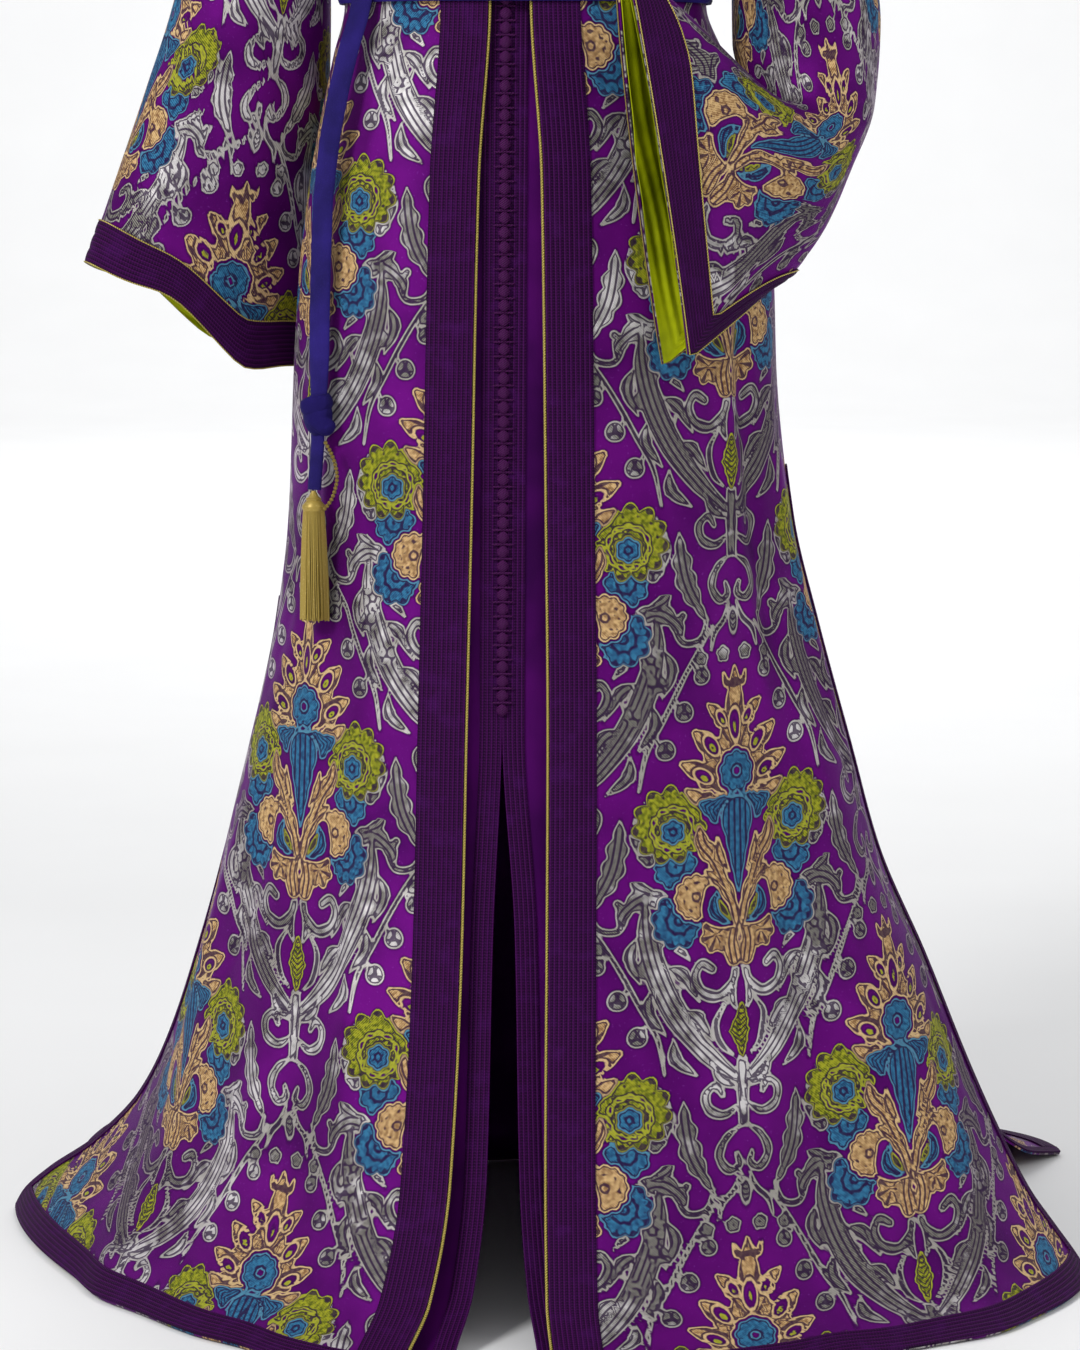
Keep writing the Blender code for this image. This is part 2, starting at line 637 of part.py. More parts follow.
def sleeve_cloth(side, coat):
    """A sleeve's grid: rows from the armhole to the cuff, columns round the arm."""
    front, back = coat["front_" + side], coat["back"]
    seam = np.array([-SEAM if side == "left" else SEAM, 0.0, 0.0])
    armhole = round_armhole(side, front.points, back.points) + seam
    table = SLEEVES[side]
    rings = [ring_points(side, row, (number + 1) / len(table)) for number, row in enumerate(table)]
    rings = np.array([armhole] + rings)
    number = np.arange(len(rings), dtype=float)
    fine = np.linspace(0, len(rings) - 1, CURVE_SAMPLES)
    columns = []
    for column in range(rings.shape[1]):
        line = np.stack([smooth_through(number, rings[:, column, axis], fine) for axis in range(3)], axis=1)
        total = lengths(line)[-1]
        places = np.concatenate(
            [
                np.linspace(0, total - LINING_DEPTH, SLEEVE_ROWS - 2),
                [total - (LINING_DEPTH + CUFF_BAND) / 2, total - CUFF_BAND, total],
            ]
        )
        columns.append(read_line(line, places))
    points = np.stack(columns, axis=1)
    normals = normals_of(points, points.mean(axis=1, keepdims=True), ring=True)
    normals[0] = seam_normals(normals[0], armhole, round_armhole(side, front.normals, back.normals), points[1])
    return Cloth(points, normals)


def seam_normals(own, edge, coat_normals, outside):
    """A sleeve's normals along the armhole, turned so that its wall keeps off the coat's."""
    tangent = np.roll(edge, -1, axis=0) - np.roll(edge, 1, axis=0)
    into_coat = np.cross(tangent, coat_normals)
    into_coat /= np.linalg.norm(into_coat, axis=1, keepdims=True)
    top = np.argmax(edge[:, 2])
    if np.dot(into_coat[top], outside[top] - edge[top]) > 0:
        into_coat = -into_coat
    towards = np.minimum(np.sum(own * into_coat, axis=1), 0.0)
    turned = own - into_coat * towards[:, None]
    return turned / np.linalg.norm(turned, axis=1, keepdims=True)


def build_coat(cloth, finishes):
    half = SEAM / 2
    brocade, band = finishes["brocade"], finishes["band"]
    for side in ("left", "right"):
        front = cloth["front_" + side].trimmed(top=half, last=half)
        wall("coat_front_" + side, front, brocade, 0.0, COAT_THICK)
    back = cloth["back"].trimmed(top=half, first=half, last=half)
    wall("coat_back", back, brocade, 0.0, COAT_THICK)
    build_bands(cloth, band)
    for side in ("left", "right"):
        piping(side, cloth["front_" + side], finishes["piping"])


def slit_row(cloth, column, height):
    """The row at which a slit starts."""
    heights = cloth.points[:, column, 2] + SHOULDER_HEIGHT
    return int(np.argmin(np.abs(heights - height)))


def build_bands(cloth, finish):
    """Braid bands along the front edges, the hems, the slits and the back of the neck."""
    half = SEAM / 2
    slit_tops = {"left": SLIT_TOP_LEFT, "right": SLIT_TOP_RIGHT}
    for side in ("left", "right"):
        panel = cloth["front_" + side]
        first = slit_row(panel, -1, slit_tops[side])
        on_top("front_band_" + side, panel.part(slice(None), slice(0, 2)).trimmed(top=half, last=half), finish)
        hem = panel.part(slice(-2, None), slice(1, -1)).trimmed(first=half, last=half)
        on_top("hem_band_front_" + side, hem, finish)
        slit = panel.part(slice(first, None), slice(-2, None)).trimmed(first=half, last=half, top=half)
        on_top("slit_band_front_" + side, slit, finish)
        columns = slice(0, 2) if side == "left" else slice(-2, None)
        slit = cloth["back"].part(slice(first, None), columns).trimmed(first=half, last=half, top=half)
        on_top("slit_band_back_" + side, slit, finish)
    hem = cloth["back"].part(slice(-2, None), slice(1, -1)).trimmed(first=half, last=half)
    on_top("hem_band_back", hem, finish)
    inset = np.flatnonzero(np.abs(cloth["back"].points[0, :, 0]) < COAT_NECK_X)
    neck = cloth["back"].part(slice(0, 3), slice(inset[0], inset[-1] + 1)).trimmed(top=half)
    on_top("neck_band", neck, finish)


def piping(side, cloth, finish):
    """A thin corded edge just outside a front edge."""
    edge = cloth.points[:, 0] - cloth.normals[:, 0] * COAT_THICK / 2
    edge = edge + drawn(cloth.points[:, 0], cloth.points[:, 1], -(PIPING / 2 + SEAM))
    tube("front_piping_" + side, edge, PIPING / 2, 0, finish)


def tube(name, route, radius, resolution, finish):
    data = bpy.data.curves.new(name, "CURVE")
    data.dimensions = "3D"
    spline = data.splines.new("POLY")
    spline.points.add(len(route) - 1)
    for point, place in zip(spline.points, route):
        point.co = (*place, 1.0)
    data.bevel_depth = radius
    data.bevel_resolution = resolution
    data.use_fill_caps = True
    data.materials.append(finish)
    made = bpy.data.objects.new(name, data)
    bpy.context.scene.collection.objects.link(made)
    return made


def build_sleeves(coat, finishes):
    for side in ("left", "right"):
        cloth = sleeve_cloth(side, coat)
        wall("sleeve_" + side, cloth, finishes["brocade"], 0.0, COAT_THICK, ring=True)
        cuff = cloth.part(slice(-2, None), slice(None))
        wall("cuff_band_" + side, cuff, finishes["band"], SEAM + BAND_THICK, BAND_THICK, ring=True)
        inside = cloth.part(slice(-4, None), slice(None))
        depth = COAT_THICK + SEAM
        wall("sleeve_lining_" + side, inside, finishes["lining"], -depth, LINING_THICK, ring=True)


def build_under(cloth, finishes):
    half = SEAM / 2
    for side in ("left", "right"):
        panel = cloth["under_" + side].trimmed(top=half, first=half, last=half)
        wall("under_front_" + side, panel, finishes["satin"], 0.0, UNDER_THICK)
        edge = cloth["under_" + side].part(slice(None), slice(0, 2)).trimmed(first=half)
        on_top("placket_" + side, edge, finishes["band"])
    back = cloth["under_back"].trimmed(top=half, first=half, last=half)
    wall("under_back", back, finishes["satin"], 0.0, UNDER_THICK)
    button_row(cloth["under_left"], finishes["button"])


def button_row(cloth, finish):
    """Small round buttons in a close row, raised on one narrow strip over the closing."""
    joined = cloth.points[:, 0, 2] + SHOULDER_HEIGHT > UNDER_SLIT_TOP - 1e-6
    line = cloth.points[joined, 0]
    facing = cloth.normals[joined, 0]
    along = lengths(line)
    count = int((along[-1] - BUTTON_PITCH / 2) / BUTTON_PITCH)
    places = BUTTON_PITCH / 2 + np.arange(2 * count + 1) * BUTTON_PITCH / 2
    centre = read_line(line, places)
    normal = np.stack([np.interp(places, along, facing[:, axis]) for axis in range(3)], axis=1)
    sideways = np.array([BUTTON_WIDTH / 2, 0.0, 0.0])
    points = np.stack([centre - sideways, centre, centre + sideways], axis=1)
    points[:, :, 1] = centre[:, None, 1]
    rise = np.full(points.shape[:2], STRIP_RISE)
    rise[1::2, 1] += BUTTON_RISE
    rise[::2, 1] += BUTTON_RISE / 4
    base = 2 * SEAM + BAND_THICK + SEAM / 2
    strip = Cloth(points, np.repeat(normal[:, None], 3, axis=1))
    wall("button_row", strip, finish, base + rise, rise)


def build_belt(cloth, finishes):
    """A belt over the bands, round all three panels."""
    heights = cloth["back"].points[:, 0, 2] + SHOULDER_HEIGHT
    rows = np.flatnonzero((heights > BELT_FOOT - 1e-6) & (heights < BELT_TOP + 1e-6))
    rows = slice(rows[0], rows[-1] + 1)
    left, right, back = (cloth[name].part(rows, slice(None)) for name in ("front_left", "front_right", "back"))
    points = np.concatenate([left.points[:, ::-1], right.points, back.points[:, -2:0:-1]], axis=1)
    normals = np.concatenate([left.normals[:, ::-1], right.normals, back.normals[:, -2:0:-1]], axis=1)
    out = SEAM + BAND_THICK + SEAM + BELT_THICK
    wall("belt", Cloth(points, normals), finishes["navy"], out, BELT_THICK, ring=True)


def strap(name, route, width, depth, finish):
    """A soft flat tie: an oval tube along a route."""
    route = np.array(route) - np.array([0.0, 0.0, SHOULDER_HEIGHT])
    direction = np.gradient(route, axis=0)
    direction /= np.linalg.norm(direction, axis=1, keepdims=True)
    outward = np.array([-0.55, -0.83, 0.0])
    flat = np.cross(direction, outward)
    flat /= np.linalg.norm(flat, axis=1, keepdims=True)
    thin = np.cross(flat, direction)
    mesh = bmesh.new()
    rings = []
    for place, wide, deep in zip(route, flat, thin):
        ring = []
        for angle in np.linspace(0, 2 * math.pi, TIE_SIDES, endpoint=False):
            offset = wide * width / 2 * math.cos(angle) + deep * depth / 2 * math.sin(angle)
            ring.append(mesh.verts.new(place + offset))
        rings.append([mesh.edges.new((ring[k - 1], ring[k])) for k in range(TIE_SIDES)])
    for upper, lower in zip(rings, rings[1:]):
        bmesh.ops.bridge_loops(mesh, edges=upper + lower)
    bmesh.ops.edgenet_fill(mesh, edges=rings[0])
    bmesh.ops.edgenet_fill(mesh, edges=rings[-1])
    return add_object(name, mesh, finish)


def knot(finish):
    """The tie's knot: a plump lump with two turns of cloth marked round it."""
    mesh = bmesh.new()
    bmesh.ops.create_uvsphere(mesh, u_segments=16, v_segments=10, radius=0.5)
    for vertex in mesh.verts:
        x, y, z = vertex.co
        turn = math.atan2(z, x)
        waist = 1 + 0.16 * math.cos(3 * turn + 4 * y)
        vertex.co = (x * waist * KNOT_SIZE[0], y * KNOT_SIZE[1], z * waist * KNOT_SIZE[2])
    bmesh.ops.translate(mesh, verts=mesh.verts[:], vec=world(*KNOT_CENTRE))
    return add_object("tie_knot", mesh, finish)


def tassel(finish):
    """A tassel: a turned head, and square strands that hang from its underside."""
    mesh = bmesh.new()
    bmesh.ops.create_grid(mesh, x_segments=TASSEL_CELLS, y_segments=TASSEL_CELLS, size=1.0)
    for vertex in mesh.verts:
        x, y = vertex.co.x, vertex.co.y
        radius = TASSEL_WIDTH / 2 * 0.72
        vertex.co = (x * math.sqrt(1 - y * y / 2) * radius, y * math.sqrt(1 - x * x / 2) * radius, 0.0)
    add_strands(mesh, mesh.faces[:])
    add_head(mesh, [edge for edge in mesh.edges if edge.is_boundary])
    bmesh.ops.translate(mesh, verts=mesh.verts[:], vec=world(*TASSEL_TOP) - np.array([0, 0, TASSEL_HEAD]))
    return add_object("tassel", mesh, finish)


def add_strands(mesh, cells):
    """Draws a strand down out of each cell, spread a little and uneven in length."""
    draws = np.random.default_rng(7)
    bmesh.ops.inset_individual(mesh, faces=cells, thickness=0.0005)
    grown = bmesh.ops.extrude_discrete_faces(mesh, faces=cells)["faces"]
    for face in grown:
        centre = face.calc_center_median()
        length = (TASSEL_LENGTH - TASSEL_HEAD) * (0.93 + 0.07 * draws.random())
        lean = 0.34 + 0.06 * draws.random()
        for vertex in face.verts:
            vertex.co.x += centre.x * lean
            vertex.co.y += centre.y * lean
            vertex.co.z -= length


def add_head(mesh, rim):
    """Closes the tassel above with a head that narrows, swells and narrows again."""
    for scale, rise in ((1.06, 0.25), (0.62, 0.25), (0.70, 0.20), (0.40, 0.30)):
        grown = bmesh.ops.extrude_edge_only(mesh, edges=rim)["geom"]
        rim = [item for item in grown if isinstance(item, bmesh.types.BMEdge) and item.is_boundary]
        corners = [item for item in grown if isinstance(item, bmesh.types.BMVert)]
        for vertex in corners:
            vertex.co.x *= scale
            vertex.co.y *= scale
            vertex.co.z += TASSEL_HEAD * rise
    bmesh.ops.contextual_create(mesh, geom=rim)


def build_tie(finishes):
    strap("belt_tie", TIE_ROUTE, TIE_WIDTH, TIE_DEPTH, finishes["navy"])
    knot(finishes["navy"])
    strap("tie_tail", (TAIL_TOP, TAIL_FOOT), TAIL_WIDTH, TIE_DEPTH, finishes["navy"])
    tassel(finishes["gold"])


def main():
    clear_scene()
    finishes = materials()
    coat = coat_cloth()
    build_coat(coat, finishes)
    build_sleeves(coat, finishes)
    build_under(under_cloth(), finishes)
    build_belt(coat, finishes)
    build_tie(finishes)


if __name__ == "__main__":
    main()
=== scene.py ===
# %% [markdown]
# A kaftan as it is worn: an open brocade coat over a buttoned satin underdress, with a belt and a tassel.
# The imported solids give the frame, and every piece below is laid on the same surfaces as those solids, only finer.

# %% Load the frame
import math

import bmesh
import bpy
import numpy as np
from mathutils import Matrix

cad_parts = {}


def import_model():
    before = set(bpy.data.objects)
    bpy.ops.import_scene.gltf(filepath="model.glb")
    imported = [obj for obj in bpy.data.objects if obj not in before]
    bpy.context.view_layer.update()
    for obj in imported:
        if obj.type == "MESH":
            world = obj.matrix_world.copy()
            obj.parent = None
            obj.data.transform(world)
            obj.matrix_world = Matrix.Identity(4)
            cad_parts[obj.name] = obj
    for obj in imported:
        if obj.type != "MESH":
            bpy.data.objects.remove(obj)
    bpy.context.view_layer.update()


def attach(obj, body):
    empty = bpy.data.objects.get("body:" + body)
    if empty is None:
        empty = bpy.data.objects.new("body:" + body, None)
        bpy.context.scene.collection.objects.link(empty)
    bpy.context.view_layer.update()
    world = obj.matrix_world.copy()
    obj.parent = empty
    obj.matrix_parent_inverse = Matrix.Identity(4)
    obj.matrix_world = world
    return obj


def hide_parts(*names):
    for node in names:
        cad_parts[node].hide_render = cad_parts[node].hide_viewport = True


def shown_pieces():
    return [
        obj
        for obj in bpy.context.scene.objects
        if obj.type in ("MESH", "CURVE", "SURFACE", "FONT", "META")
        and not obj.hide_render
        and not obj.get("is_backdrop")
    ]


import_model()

SHOULDER_HEIGHT = 1.43

# %% [markdown]
# The camera stands in front at hip height and looks a little down, with a long lens, as for a fashion picture.
# A long lens keeps the sleeves and the hem at one scale. It is set first, because the cords are judged by its view.

# %% Camera
LENS = 104.37
CAMERA_X = 0.012
CAMERA_AWAY = 3.3
CAMERA_HEIGHT = 0.95
CAMERA_DOWN = 8.1


def add_object(name, data):
    """A new object in the scene."""
    made = bpy.data.objects.new(name, data)
    bpy.context.scene.collection.objects.link(made)
    return made


camera_data = bpy.data.cameras.new("camera")
camera_data.lens = LENS
camera_data.sensor_width = 36.0
camera = add_object("camera", camera_data)
camera.location = (CAMERA_X, -CAMERA_AWAY, CAMERA_HEIGHT - SHOULDER_HEIGHT)
camera.rotation_euler = (math.radians(90 - CAMERA_DOWN), 0, 0)
bpy.context.scene.camera = camera
print("camera lens", LENS, "mm")

# %% [markdown]
# Shader maths reads best as sums and products. A small wrapper round a socket turns Python's operators into Math
# nodes, and one method adds any other node, with its settings first and then what goes into it.

# %% Writing materials as expressions
def linear(red, green, blue):
    """A screen colour, 0 to 255, as the light that a shader works in."""
    parts = [channel / 255 for channel in (red, green, blue)]
    return [part / 12.92 if part <= 0.04045 else ((part + 0.055) / 1.055) ** 2.4 for part in parts] + [1.0]


class Amount:
    """A number that varies over a surface."""

    def __init__(self, finish, socket):
        self.finish = finish
        self.socket = socket

    def maths(self, operation, *others, clamp=False):
        settings = {"operation": operation, "use_clamp": clamp}
        return self.finish.node("ShaderNodeMath", settings, dict(enumerate((self, *others))))

    def __add__(self, other):
        return self.maths("ADD", other)

    def __sub__(self, other):
        return self.maths("SUBTRACT", other)

    def __rsub__(self, other):
        return self.finish.node("ShaderNodeMath", {"operation": "SUBTRACT"}, {0: other, 1: self})

    def __mul__(self, other):
        return self.maths("MULTIPLY", other)

    __radd__ = __add__
    __rmul__ = __mul__

    def wave(self, period):
        """A sine wave, which repeats once in each period."""
        return (self * (2 * math.pi / period)).maths("SINE")

    def absolute(self):
        return self.maths("ABSOLUTE")

    def most(self, other):
        return self.maths("MAXIMUM", other)

    def ramp(self, low, high):
        """0 below low and 1 above high, or the other way round when low is the larger."""
        return (self * (1 / (high - low))).maths("ADD", -low / (high - low), clamp=True)


class Finish:
    """A material made of nodes, and what its shader gets."""

    def __init__(self, name):
        self.material = bpy.data.materials.new(name)
        self.material.use_nodes = True
        self.tree = self.material.node_tree
        self.shader = self.tree.nodes["Principled BSDF"]

    def node(self, kind, settings, inputs, output=0):
        made = self.tree.nodes.new(kind)
        for key, value in settings.items():
            setattr(made, key, value)
        for key, value in inputs.items():
            self.feed(made.inputs[key], value)
        return Amount(self, made.outputs[output])

    def feed(self, socket, value):
        if isinstance(value, Amount):
            self.tree.links.new(value.socket, socket)
        elif value is not None:
            socket.default_value = value

    def give(self, **inputs):
        """Sets the shader's sockets, named with underscores for spaces."""
        for key, value in inputs.items():
            self.feed(self.shader.inputs[key.replace("_", " ")], value)
        return self

    def mixed(self, factor, first, second):
        """A colour between two others."""
        return self.node("ShaderNodeMix", {"data_type": "RGBA"}, {0: factor, 6: first, 7: second}, output=2)

    def mark(self, name):
        """A number kept on the mesh's points."""
        return self.node("ShaderNodeAttribute", {"attribute_name": name}, {}, output=2)

    def place(self):
        return self.node("ShaderNodeTexCoord", {}, {}, output=3)

    def apart(self, vector):
        """The three parts of a vector."""
        split = self.node("ShaderNodeSeparateXYZ", {}, {0: vector})
        return [Amount(self, part) for part in split.socket.node.outputs]

    def weave_place(self):
        """Across and along the cloth, in metres."""
        return self.apart(self.node("ShaderNodeUVMap", {"uv_map": "weave"}, {}))[:2]

    def noise(self, scale, detail=2.0, vector=None):
        return self.node("ShaderNodeTexNoise", {}, {"Vector": vector or self.place(), "Scale": scale, "Detail": detail})

    def bump(self, height, distance, strength=1.0):
        """Relief from a height between 0 and 1, which stands up by the distance."""
        self.feed(
            self.shader.inputs["Normal"],
            self.node("ShaderNodeBump", {}, {"Height": height, "Distance": distance, "Strength": strength}),
        )
        return self


print("materials are written as expressions")

# %% [markdown]
# The floor is a plain pale sheet that curves up far behind, as studio paper does. The light is soft: a wide pale sky
# and large panels, one bright at the front left, one weaker at the right, one behind to pick out the edges, and one
# for the backdrop. Big panels give satin its long sheens.

# %% Floor and light
FLOOR_REACH = 20.0
FLOOR_STEPS = 160
SWEEP_START = 9.0
SWEEP_RADIUS = 3.0
FLOOR_DULL = linear(238, 238, 238)
FLOOR_LIT = linear(243, 243, 243)


def mesh_data(name, mesh):
    """The mesh that a bmesh holds, which is then let go."""
    data = bpy.data.meshes.new(name)
    mesh.to_mesh(data)
    mesh.free()
    return data


floor_finish = Finish("floor")
floor_finish.give(Base_Color=floor_finish.mixed(floor_finish.noise(3.0), FLOOR_DULL, FLOOR_LIT), Roughness=0.85)
floor_mesh = bmesh.new()
bmesh.ops.create_grid(floor_mesh, x_segments=4, y_segments=FLOOR_STEPS, size=FLOOR_REACH)
for vertex in floor_mesh.verts:
    past = max(vertex.co.y - SWEEP_START, 0.0)
    turned = min(past / SWEEP_RADIUS, math.pi / 2)
    climb = past - turned * SWEEP_RADIUS
    if past:
        vertex.co.y = SWEEP_START + SWEEP_RADIUS * math.sin(turned)
    vertex.co.z = SWEEP_RADIUS * (1 - math.cos(turned)) + climb - SHOULDER_HEIGHT
floor_data = mesh_data("floor", floor_mesh)
floor_data.materials.append(floor_finish.material)
floor_data.shade_smooth()
floor = add_object("floor", floor_data)
floor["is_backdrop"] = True


def panel_light(name, place, aim, size, power):
    """A square soft light that faces a point."""
    data = bpy.data.lights.new(name, "AREA")
    data.size = size
    data.energy = power
    made = add_object(name, data)
    made.location = place
    reach = [there - here for here, there in zip(place, aim)]
    flat = math.hypot(reach[0], reach[1])
    made.rotation_euler = (math.atan2(flat, -reach[2]), 0, math.atan2(reach[1], reach[0]) - math.pi / 2)


panel_light("light_front_left", (-2.4, -2.6, 1.6), (0, 0, -0.7), 1.0, 108)
panel_light("light_right", (2.8, -1.4, 0.8), (0, 0, -0.8), 1.6, 22)
panel_light("light_back", (0.6, 3.0, 1.6), (0, 0, -0.6), 2.4, 40)
panel_light("light_backdrop", (0.0, 5.0, 4.2), (0, 11.5, 0.0), 4.0, 330)
bpy.context.scene.view_settings.view_transform = "Standard"
sky = bpy.data.worlds.new("sky")
sky.use_nodes = True
sky.node_tree.nodes["Background"].inputs["Color"].default_value = linear(246, 247, 249)
sky.node_tree.nodes["Background"].inputs["Strength"].default_value = 0.55
bpy.context.scene.world = sky
print("floor at", -SHOULDER_HEIGHT)

# %% [markdown]
# Most pieces here are a grid of points: rows along the piece, and columns across it. Blender's grid operator makes
# the mesh, and its points are then moved to their places at once, which is much quicker than one at a time. Each
# corner keeps its place across and along the cloth as a UV map in metres, so a weave follows the cloth.

# %% Grids, tubes and walls
WELD = 1e-7
SHARP = math.radians(50)


def lengths(line):
    """Distance along a line of points, from its first one."""
    return np.concatenate([[0.0], np.cumsum(np.linalg.norm(np.diff(line, axis=0), axis=1))])


def read_line(line, places):
    """The points at the given distances along a line."""
    along = lengths(line)
    return np.stack([np.interp(places, along, line[:, axis]) for axis in range(3)], axis=1)


def closed_round(values):
    return np.concatenate([values, values[:, :1]], axis=1)


def grid_mesh(name, points, uv, marks, ring):
    """A bmesh on a grid of points, with its UV map and its marks, and welded where a ring closes."""
    if ring:
        points = closed_round(points)
        marks = {key: closed_round(values) for key, values in marks.items()}
    rows, columns = points.shape[:2]
    mesh = bmesh.new()
    bmesh.ops.create_grid(mesh, x_segments=columns - 1, y_segments=rows - 1, size=0.5)
    data = bpy.data.meshes.new(name)
    mesh.to_mesh(data)
    data.vertices.foreach_set("co", points.astype(np.float32).ravel())
    numbers = np.arange(rows * columns, dtype=np.int32)
    data.attributes.new("number", "INT", "POINT").data.foreach_set("value", numbers)
    for key, values in marks.items():
        data.attributes.new(key, "FLOAT", "POINT").data.foreach_set("value", values.astype(np.float32).ravel())
    corners = np.empty(len(data.loops), np.int32)
    data.loops.foreach_get("vertex_index", corners)
    layer = data.uv_layers.new(name="weave")
    layer.data.foreach_set("uv", uv.reshape(-1, 2)[corners].astype(np.float32).ravel())
    mesh.clear()
    mesh.from_mesh(data)
    if ring:
        bmesh.ops.remove_doubles(mesh, verts=mesh.verts[:], dist=WELD)
    return data, mesh


def own_uv(points, ring):
    """Across and along a grid, as mean distances in metres."""
    points = closed_round(points) if ring else points
    across = np.linalg.norm(np.diff(points, axis=1), axis=2)
    along = np.linalg.norm(np.diff(points, axis=0), axis=2)
    u = np.concatenate([np.zeros((len(points), 1)), np.cumsum(across, axis=1)], axis=1)
    v = np.concatenate([np.zeros((1, points.shape[1])), np.cumsum(along, axis=0)], axis=0)
    return np.stack([u, v], axis=2)


def add_piece(name, data, finish, slot, *nodes):
    """A finished piece: it rides on the one body, stands for its solids, and takes its finish. Its slot is not used."""
    for helper in ("number", "inner"):
        if helper in data.attributes:
            data.attributes.remove(data.attributes[helper])
    data.materials.append(finish.material)
    data.shade_smooth()
    data.set_sharp_from_angle(angle=SHARP)
    made = add_object(name, data)
    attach(made, "root")
    if nodes:
        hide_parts(*nodes)
    data.calc_loop_triangles()
    print(name, len(data.loop_triangles), "triangles")
    return made


def wall(name, cloth, out, thickness, finish, slot, *nodes, ring=False, uv=None, marks=None, plain=0):
    """A closed wall on a cloth's points: its outer face stands out by one distance, and its inner face by less.
    The inner face may be made plainer, which leaves more points for the outer one."""
    points, normals = cloth.points, cloth.normals
    rise = np.broadcast_to(out, points.shape[:2])[:, :, None]
    depth = np.broadcast_to(thickness, points.shape[:2])[:, :, None]
    outer = points + normals * rise
    inner = points + normals * (rise - depth)
    uv = own_uv(points, ring) if uv is None else uv
    data, mesh = grid_mesh(name, outer, uv, marks or {}, ring)
    side = mesh.verts.layers.int.new("inner")
    grown = bmesh.ops.extrude_face_region(mesh, geom=mesh.faces[:], use_keep_orig=True)
    for item in grown["geom"]:
        if isinstance(item, bmesh.types.BMVert):
            item[side] = 1
    bmesh.ops.recalc_face_normals(mesh, faces=mesh.faces[:])
    mesh.to_mesh(data)
    mesh.free()
    if ring:
        inner = closed_round(inner)
    set_inner(data, inner)
    if plain:
        make_plainer(data, plain)
    return add_piece(name, data, finish, slot, *nodes)


def make_plainer(data, passes):
    """Undoes subdivisions of the inner face away from its edges."""
    mesh = bmesh.new()
    mesh.from_mesh(data)
    side = mesh.verts.layers.int["inner"]
    loose = [
        vertex for vertex in mesh.verts
        if vertex[side] and all(edge.other_vert(vertex)[side] for edge in vertex.link_edges)
    ]
    bmesh.ops.unsubdivide(mesh, verts=loose, iterations=passes)
    mesh.to_mesh(data)
    mesh.free()


def set_inner(data, inner):
    """Moves the inner face's points to their own places."""
    count = len(data.vertices)
    number, is_inner = np.empty(count, np.int32), np.empty(count, np.int32)
    data.attributes["number"].data.foreach_get("value", number)
    data.attributes["inner"].data.foreach_get("value", is_inner)
    places = np.empty(count * 3, np.float32)
    data.vertices.foreach_get("co", places)
    places = places.reshape(-1, 3)
    places[is_inner == 1] = inner.reshape(-1, 3)[number[is_inner == 1]]
    data.vertices.foreach_set("co", places.ravel())
    data.update()


def tube(name, rings, finish, slot, *nodes, endless=False):
    """A tube on rings of points, with its ends filled, or one that runs round into itself."""
    if endless:
        rings = np.concatenate([rings, rings[:1]])
    data, mesh = grid_mesh(name, rings, own_uv(rings, True), {}, True)
    if endless:
        bmesh.ops.remove_doubles(mesh, verts=mesh.verts[:], dist=WELD)
    else:
        bmesh.ops.holes_fill(mesh, edges=[edge for edge in mesh.edges if edge.is_boundary], sides=0)
    bmesh.ops.recalc_face_normals(mesh, faces=mesh.faces[:])
    mesh.to_mesh(data)
    mesh.free()
    return add_piece(name, data, finish, slot, *nodes)


print("grids, tubes and walls are ready")

# %% [markdown]
# The tables below are the garment's shape, as a tailor would note it: how far the outline reaches to each side and
# to the front and back at each height. A smooth curve through a table gives the shape at any height between.

# %% Tables that are read smoothly
def smooth_through(places, values, wanted):
    """A smooth curve through the values at the places, which never swings past them."""
    run = np.diff(places)
    rise = np.diff(values) / run
    inner = np.zeros(len(rise) - 1)
    same = rise[:-1] * rise[1:] > 0
    inner[same] = 2 * rise[:-1][same] * rise[1:][same] / (rise[:-1][same] + rise[1:][same])
    slope = np.concatenate([rise[:1], inner, rise[-1:]])
    step = np.clip(np.searchsorted(places, wanted, side="right") - 1, 0, len(run) - 1)
    t = np.clip((wanted - places[step]) / run[step], 0, 1)
    start = values[step] * (1 + 2 * t) * (1 - t) ** 2 + slope[step] * run[step] * t * (1 - t) ** 2
    end = values[step + 1] * t * t * (3 - 2 * t) - slope[step + 1] * run[step] * t * t * (1 - t)
    return start + end


class Table:
    """Rows of named columns, read smoothly by height."""

    def __init__(self, names, *rows):
        self.columns = dict(zip(names.split(), np.array(rows, float).T))

    def at(self, name, height):
        return smooth_through(self.columns["height"], self.columns[name], np.asarray(height, float))


def world(x, y, height):
    return np.stack([x, y, height - SHOULDER_HEIGHT], axis=-1)


print("tables are read between their rows by a smooth curve")

# %% [markdown]
# The garment's form is read from a few tables by height, measured from the floor. Each row says how far the coat
# reaches to the viewer's left and right, to the front and to the back. A sculpted mesh could hold the same form, but
# numbers by height are easy to read and change, and the coat, the underdress and the belt all share them.

